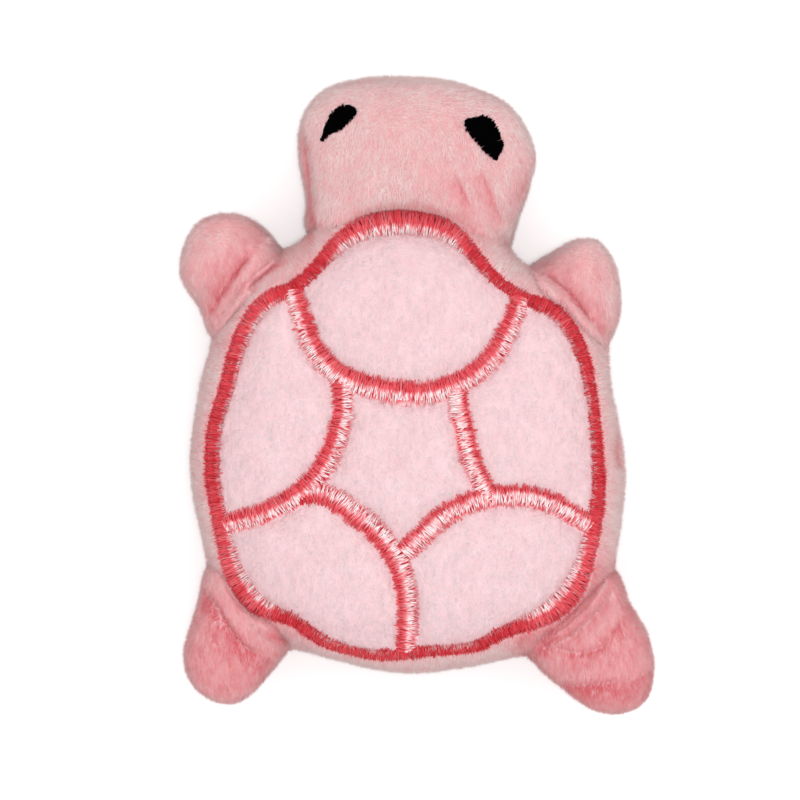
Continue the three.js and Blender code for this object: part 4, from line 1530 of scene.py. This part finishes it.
        self.torso.make_skin(limbs, self.shell)
        nap = Pile(length=1.35, width=0.14, lean=56.0, fall=-0.3, tuft=(0.8, 0.8, 1.6))
        fur = nap.grow("torso_pile", self.torso.skin, density, self.pink_tone, SEED)
        belly = Pile(length=1.3, width=0.2, fall=-0.3).grow(
            "belly_pile", self.torso.skin, belly_density, self.pink_tone, SEED + 2,
        )
        for piece, material in ((self.torso.skin, cloth), (fur, pile), (belly, pile)):
            piece.data.materials.append(material)
            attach(piece, "torso")
            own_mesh(piece)
        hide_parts(*self.torso.nodes)

    def make_limb(
        self, limb: StuffedForm, cloth: bpy.types.Material, pile: bpy.types.Material, seed: int,
    ) -> None:
        """Models a leg's or the head's pink plush."""

        def density(place: np.ndarray, outward: np.ndarray) -> np.ndarray:
            hidden = self.torso.holds(place, HIDDEN_DEPTH)
            hidden |= self.shell.clear_of_border(place) < -UNDER_BORDER
            if limb is self.head:
                for eye in self.eyes:
                    hidden |= eye.covers(place) & (place[:, 2] > SEAM_Z)
            fibres = np.where(place[:, 2] > LIMB_UNDERSIDE_TOP, LIMB_FIBRES, LIMB_UNDERSIDE_FIBRES)
            return np.where(hidden, 0.0, fibres)

        limb.make_skin([self.torso], self.shell)
        nap = Pile(length=1.35, width=0.14, fall=0.85)
        fur = nap.grow(f"{limb.name}_pile", limb.skin, density, self.pink_tone, seed)
        for piece, material in ((limb.skin, cloth), (fur, pile)):
            piece.data.materials.append(material)
            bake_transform(piece)
        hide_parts(*limb.nodes)

    def make_inside(self) -> None:
        """Models the stuffing and the closing stitch, and gives the squeaker its materials."""
        fill, plug, film = FIBREFILL.material(), MOULDED_PLASTIC.material(), REED_FILM.material()
        for name, body in (
            ("torso_lower_stuffing", "torso"), ("torso_upper_stuffing", "torso"), ("head_stuffing", "head"),
            *((f"{leg.name}_stuffing", leg.name) for leg in self.legs),
        ):
            self.stuff(name, body, fill)
        for name, material in (
            ("squeaker_housing", plug), ("squeaker_reed_block", plug), ("squeaker_reed", film),
        ):
            dress(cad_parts[name], material)
        self.make_bulb()
        self.close_gap()

    def stuff(self, name: str, body: str, fill: bpy.types.Material) -> None:
        """Models a lump of matted fibrefill in the space that its CAD node holds."""
        lump = copied(name, name.replace("stuffing", "fibrefill"))
        bpy.ops.object.mode_set(mode="EDIT")
        bpy.ops.mesh.select_all(action="SELECT")
        bpy.ops.mesh.remove_doubles(threshold=0.00002)
        bpy.ops.object.mode_set(mode="OBJECT")
        remesh = lump.modifiers.new("matt", "REMESH")
        remesh.mode = "VOXEL"
        remesh.voxel_size = 1.3 * MM
        bpy.ops.object.modifier_apply(modifier=remesh.name)
        places, outward = coordinates(lump), vertex_normals(lump)
        tufts = 0.55 + 0.35 * drift(places, 5.0, 11.0) + 0.25 * drift(places, 2.2, 12.0)
        move_vertices(lump, places - outward * np.maximum(tufts, 0.1)[:, None])
        bpy.ops.object.shade_smooth()
        lump.data.materials.clear()
        lump.data.materials.append(fill)
        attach(lump, body)
        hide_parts(name)
        if name == "torso_upper_stuffing":
            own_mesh(lump)

    def make_bulb(self) -> None:
        """Makes the squeaker's bulb, which rides with the torso."""
        bulb = copied("squeaker_bulb", "blown_bulb")
        bulb.data.materials.clear()
        bulb.data.materials.append(BLOWN_PLASTIC.material())
        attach(bulb, "torso")
        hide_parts("squeaker_bulb")
        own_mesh(bulb)

    def close_gap(self) -> None:
        """Sews the gap in the side seam shut with a ladder of small stitches."""
        shape, faces = stitch_template()
        gap, stitches, rim = (-16.6, -7.4), 7, 47.0
        levels = np.linspace(*gap, stitches)
        angle = np.arctan2(levels - self.torso.middle[1], rim)
        heading = np.column_stack([np.cos(angle), np.sin(angle)])
        sunk, arch, thick, tall, step = 0.9, 0.45, 0.4, 2.8, 1.1
        centres = np.array(self.torso.middle) + (self.torso.rim_at(angle) - sunk)[:, None] * heading
        slant = np.where(np.arange(len(levels)) % 2, step, -step)
        run = shape[:, 2][None, :]
        x = centres[:, :1] + arch * (1 - (2 * run) ** 2) + thick * shape[:, 0][None, :]
        y = centres[:, 1:] + slant[:, None] * run + thick * shape[:, 1][None, :]
        z = SEAM_Z + tall * run
        places = np.stack([x, y, z + 0 * x], axis=-1)
        uv = np.empty((len(levels), len(shape), 2))
        uv[:, :, 0] = 0.5 + 0.03 * np.sign(shape[:, 0])
        uv[:, :, 1] = 0.5 + 0.48 * 2 * run
        blocks, maps = repeated_faces(faces, len(shape), len(levels), uv)
        sewing = build_mesh("closing_stitching", places.reshape(-1, 3), blocks, maps)
        sewing.data.materials.append(SEWING_THREAD.material())
        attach(sewing, "torso")
        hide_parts("closing_stitch")
        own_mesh(sewing)


def copied(name: str, new_name: str) -> bpy.types.Object:
    """Copies a CAD node as a new piece, which is then the active one."""
    bpy.ops.object.select_all(action="DESELECT")
    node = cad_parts[name]
    piece = node.copy()
    piece.data = node.data.copy()
    piece.name = new_name
    piece.data.name = new_name
    piece.parent = None
    for key in list(piece.keys()):
        del piece[key]
    bpy.context.scene.collection.objects.link(piece)
    bpy.context.view_layer.objects.active = piece
    piece.select_set(True)
    return piece


def dress(node: bpy.types.Object, material: bpy.types.Material) -> None:
    """Puts a material on a CAD node."""
    if node.material_slots:
        for material_slot in node.material_slots:
            material_slot.material = material
    else:
        node.data.materials.append(material)


@dataclass(frozen=True)
class Lamp:
    """A round lamp that points at the toy."""

    name: str
    place: tuple[float, float, float]
    size: float
    watts: float

    def make(self) -> None:
        """Makes the lamp."""
        light = bpy.data.lights.new(self.name, "AREA")
        light.shape = "DISK"
        light.size = self.size
        light.energy = self.watts
        holder = bpy.data.objects.new(self.name, light)
        holder.location = self.place
        holder.rotation_euler = Vector(self.place).to_track_quat("Z", "Y").to_euler()
        bpy.context.scene.collection.objects.link(holder)


@dataclass(frozen=True)
class Studio:
    """A white sweep under soft light, with the camera straight above as in the photograph."""

    picture_width: float = 175.0  # millimetres across the picture at the seam's level
    centre: tuple[float, float] = (-3.8, -1.05)
    lens: float = 360.0
    sensor: float = 36.0
    sky: float = 0.86
    floor_glow: float = 0.3  # lifts the floor to white where it is seen, and lights nothing
    lamps: tuple[Lamp, ...] = (
        Lamp("overhead_lamp", (0.04, -0.04, 2.2), 0.28, 11.0),
        Lamp("side_lamp", (0.7, 0.3, 0.8), 0.5, 0.75),
    )

    def make(self) -> None:
        """Makes the floor, the lamps, the sky and the camera."""
        self.make_floor()
        world = bpy.data.worlds.new("studio")
        bpy.context.scene.world = world
        world.use_nodes = True
        world.node_tree.nodes["Background"].inputs["Color"].default_value = (1, 1, 1, 1)
        world.node_tree.nodes["Background"].inputs["Strength"].default_value = self.sky
        for lamp in self.lamps:
            lamp.make()
        distance = self.picture_width * self.lens / self.sensor
        camera = bpy.data.cameras.new("camera")
        camera.lens = self.lens
        camera.sensor_width = self.sensor
        camera.clip_start = 0.01
        holder = bpy.data.objects.new("camera", camera)
        holder.location = (self.centre[0] * MM, self.centre[1] * MM, (SEAM_Z + distance) * MM)
        bpy.context.scene.collection.objects.link(holder)
        bpy.context.scene.camera = holder
        bpy.context.scene.view_settings.view_transform = "Standard"

    def make_floor(self) -> None:
        """A white floor that keeps the toy's soft shadow."""
        bpy.ops.object.select_all(action="DESELECT")
        bpy.ops.mesh.primitive_plane_add(size=6.0, location=(0, 0, -0.3 * MM))
        floor = bpy.context.active_object
        floor.name = "floor"
        tree = NodeTree("matt_white_sweep")
        rays = tree.add("ShaderNodeLightPath").outputs
        looks = rays["Is Camera Ray"]
        for ray in ("Is Glossy Ray", "Is Transmission Ray"):
            looks = tree.add("ShaderNodeMath", {"operation": "ADD"}, i0=looks, i1=rays[ray]).outputs[0]
        seen = tree.add("ShaderNodeMath", {"operation": "MULTIPLY"}, i0=looks, i1=self.floor_glow)
        floor.data.materials.append(tree.surface(
            Base_Color=linear("#f2f2f2"), Roughness=1.0, Specular_IOR_Level=0.0,
            Emission_Color=(1, 1, 1, 1), Emission_Strength=seen.outputs[0],
        ))


def main() -> None:
    """Builds the toy and the studio round it."""
    logging.basicConfig(level=logging.INFO, format="%(relativeCreated)d %(message)s")
    Turtle().make()
    Studio().make()
    LOG.info("the scene is built")


if __name__ == "__main__":
    main()
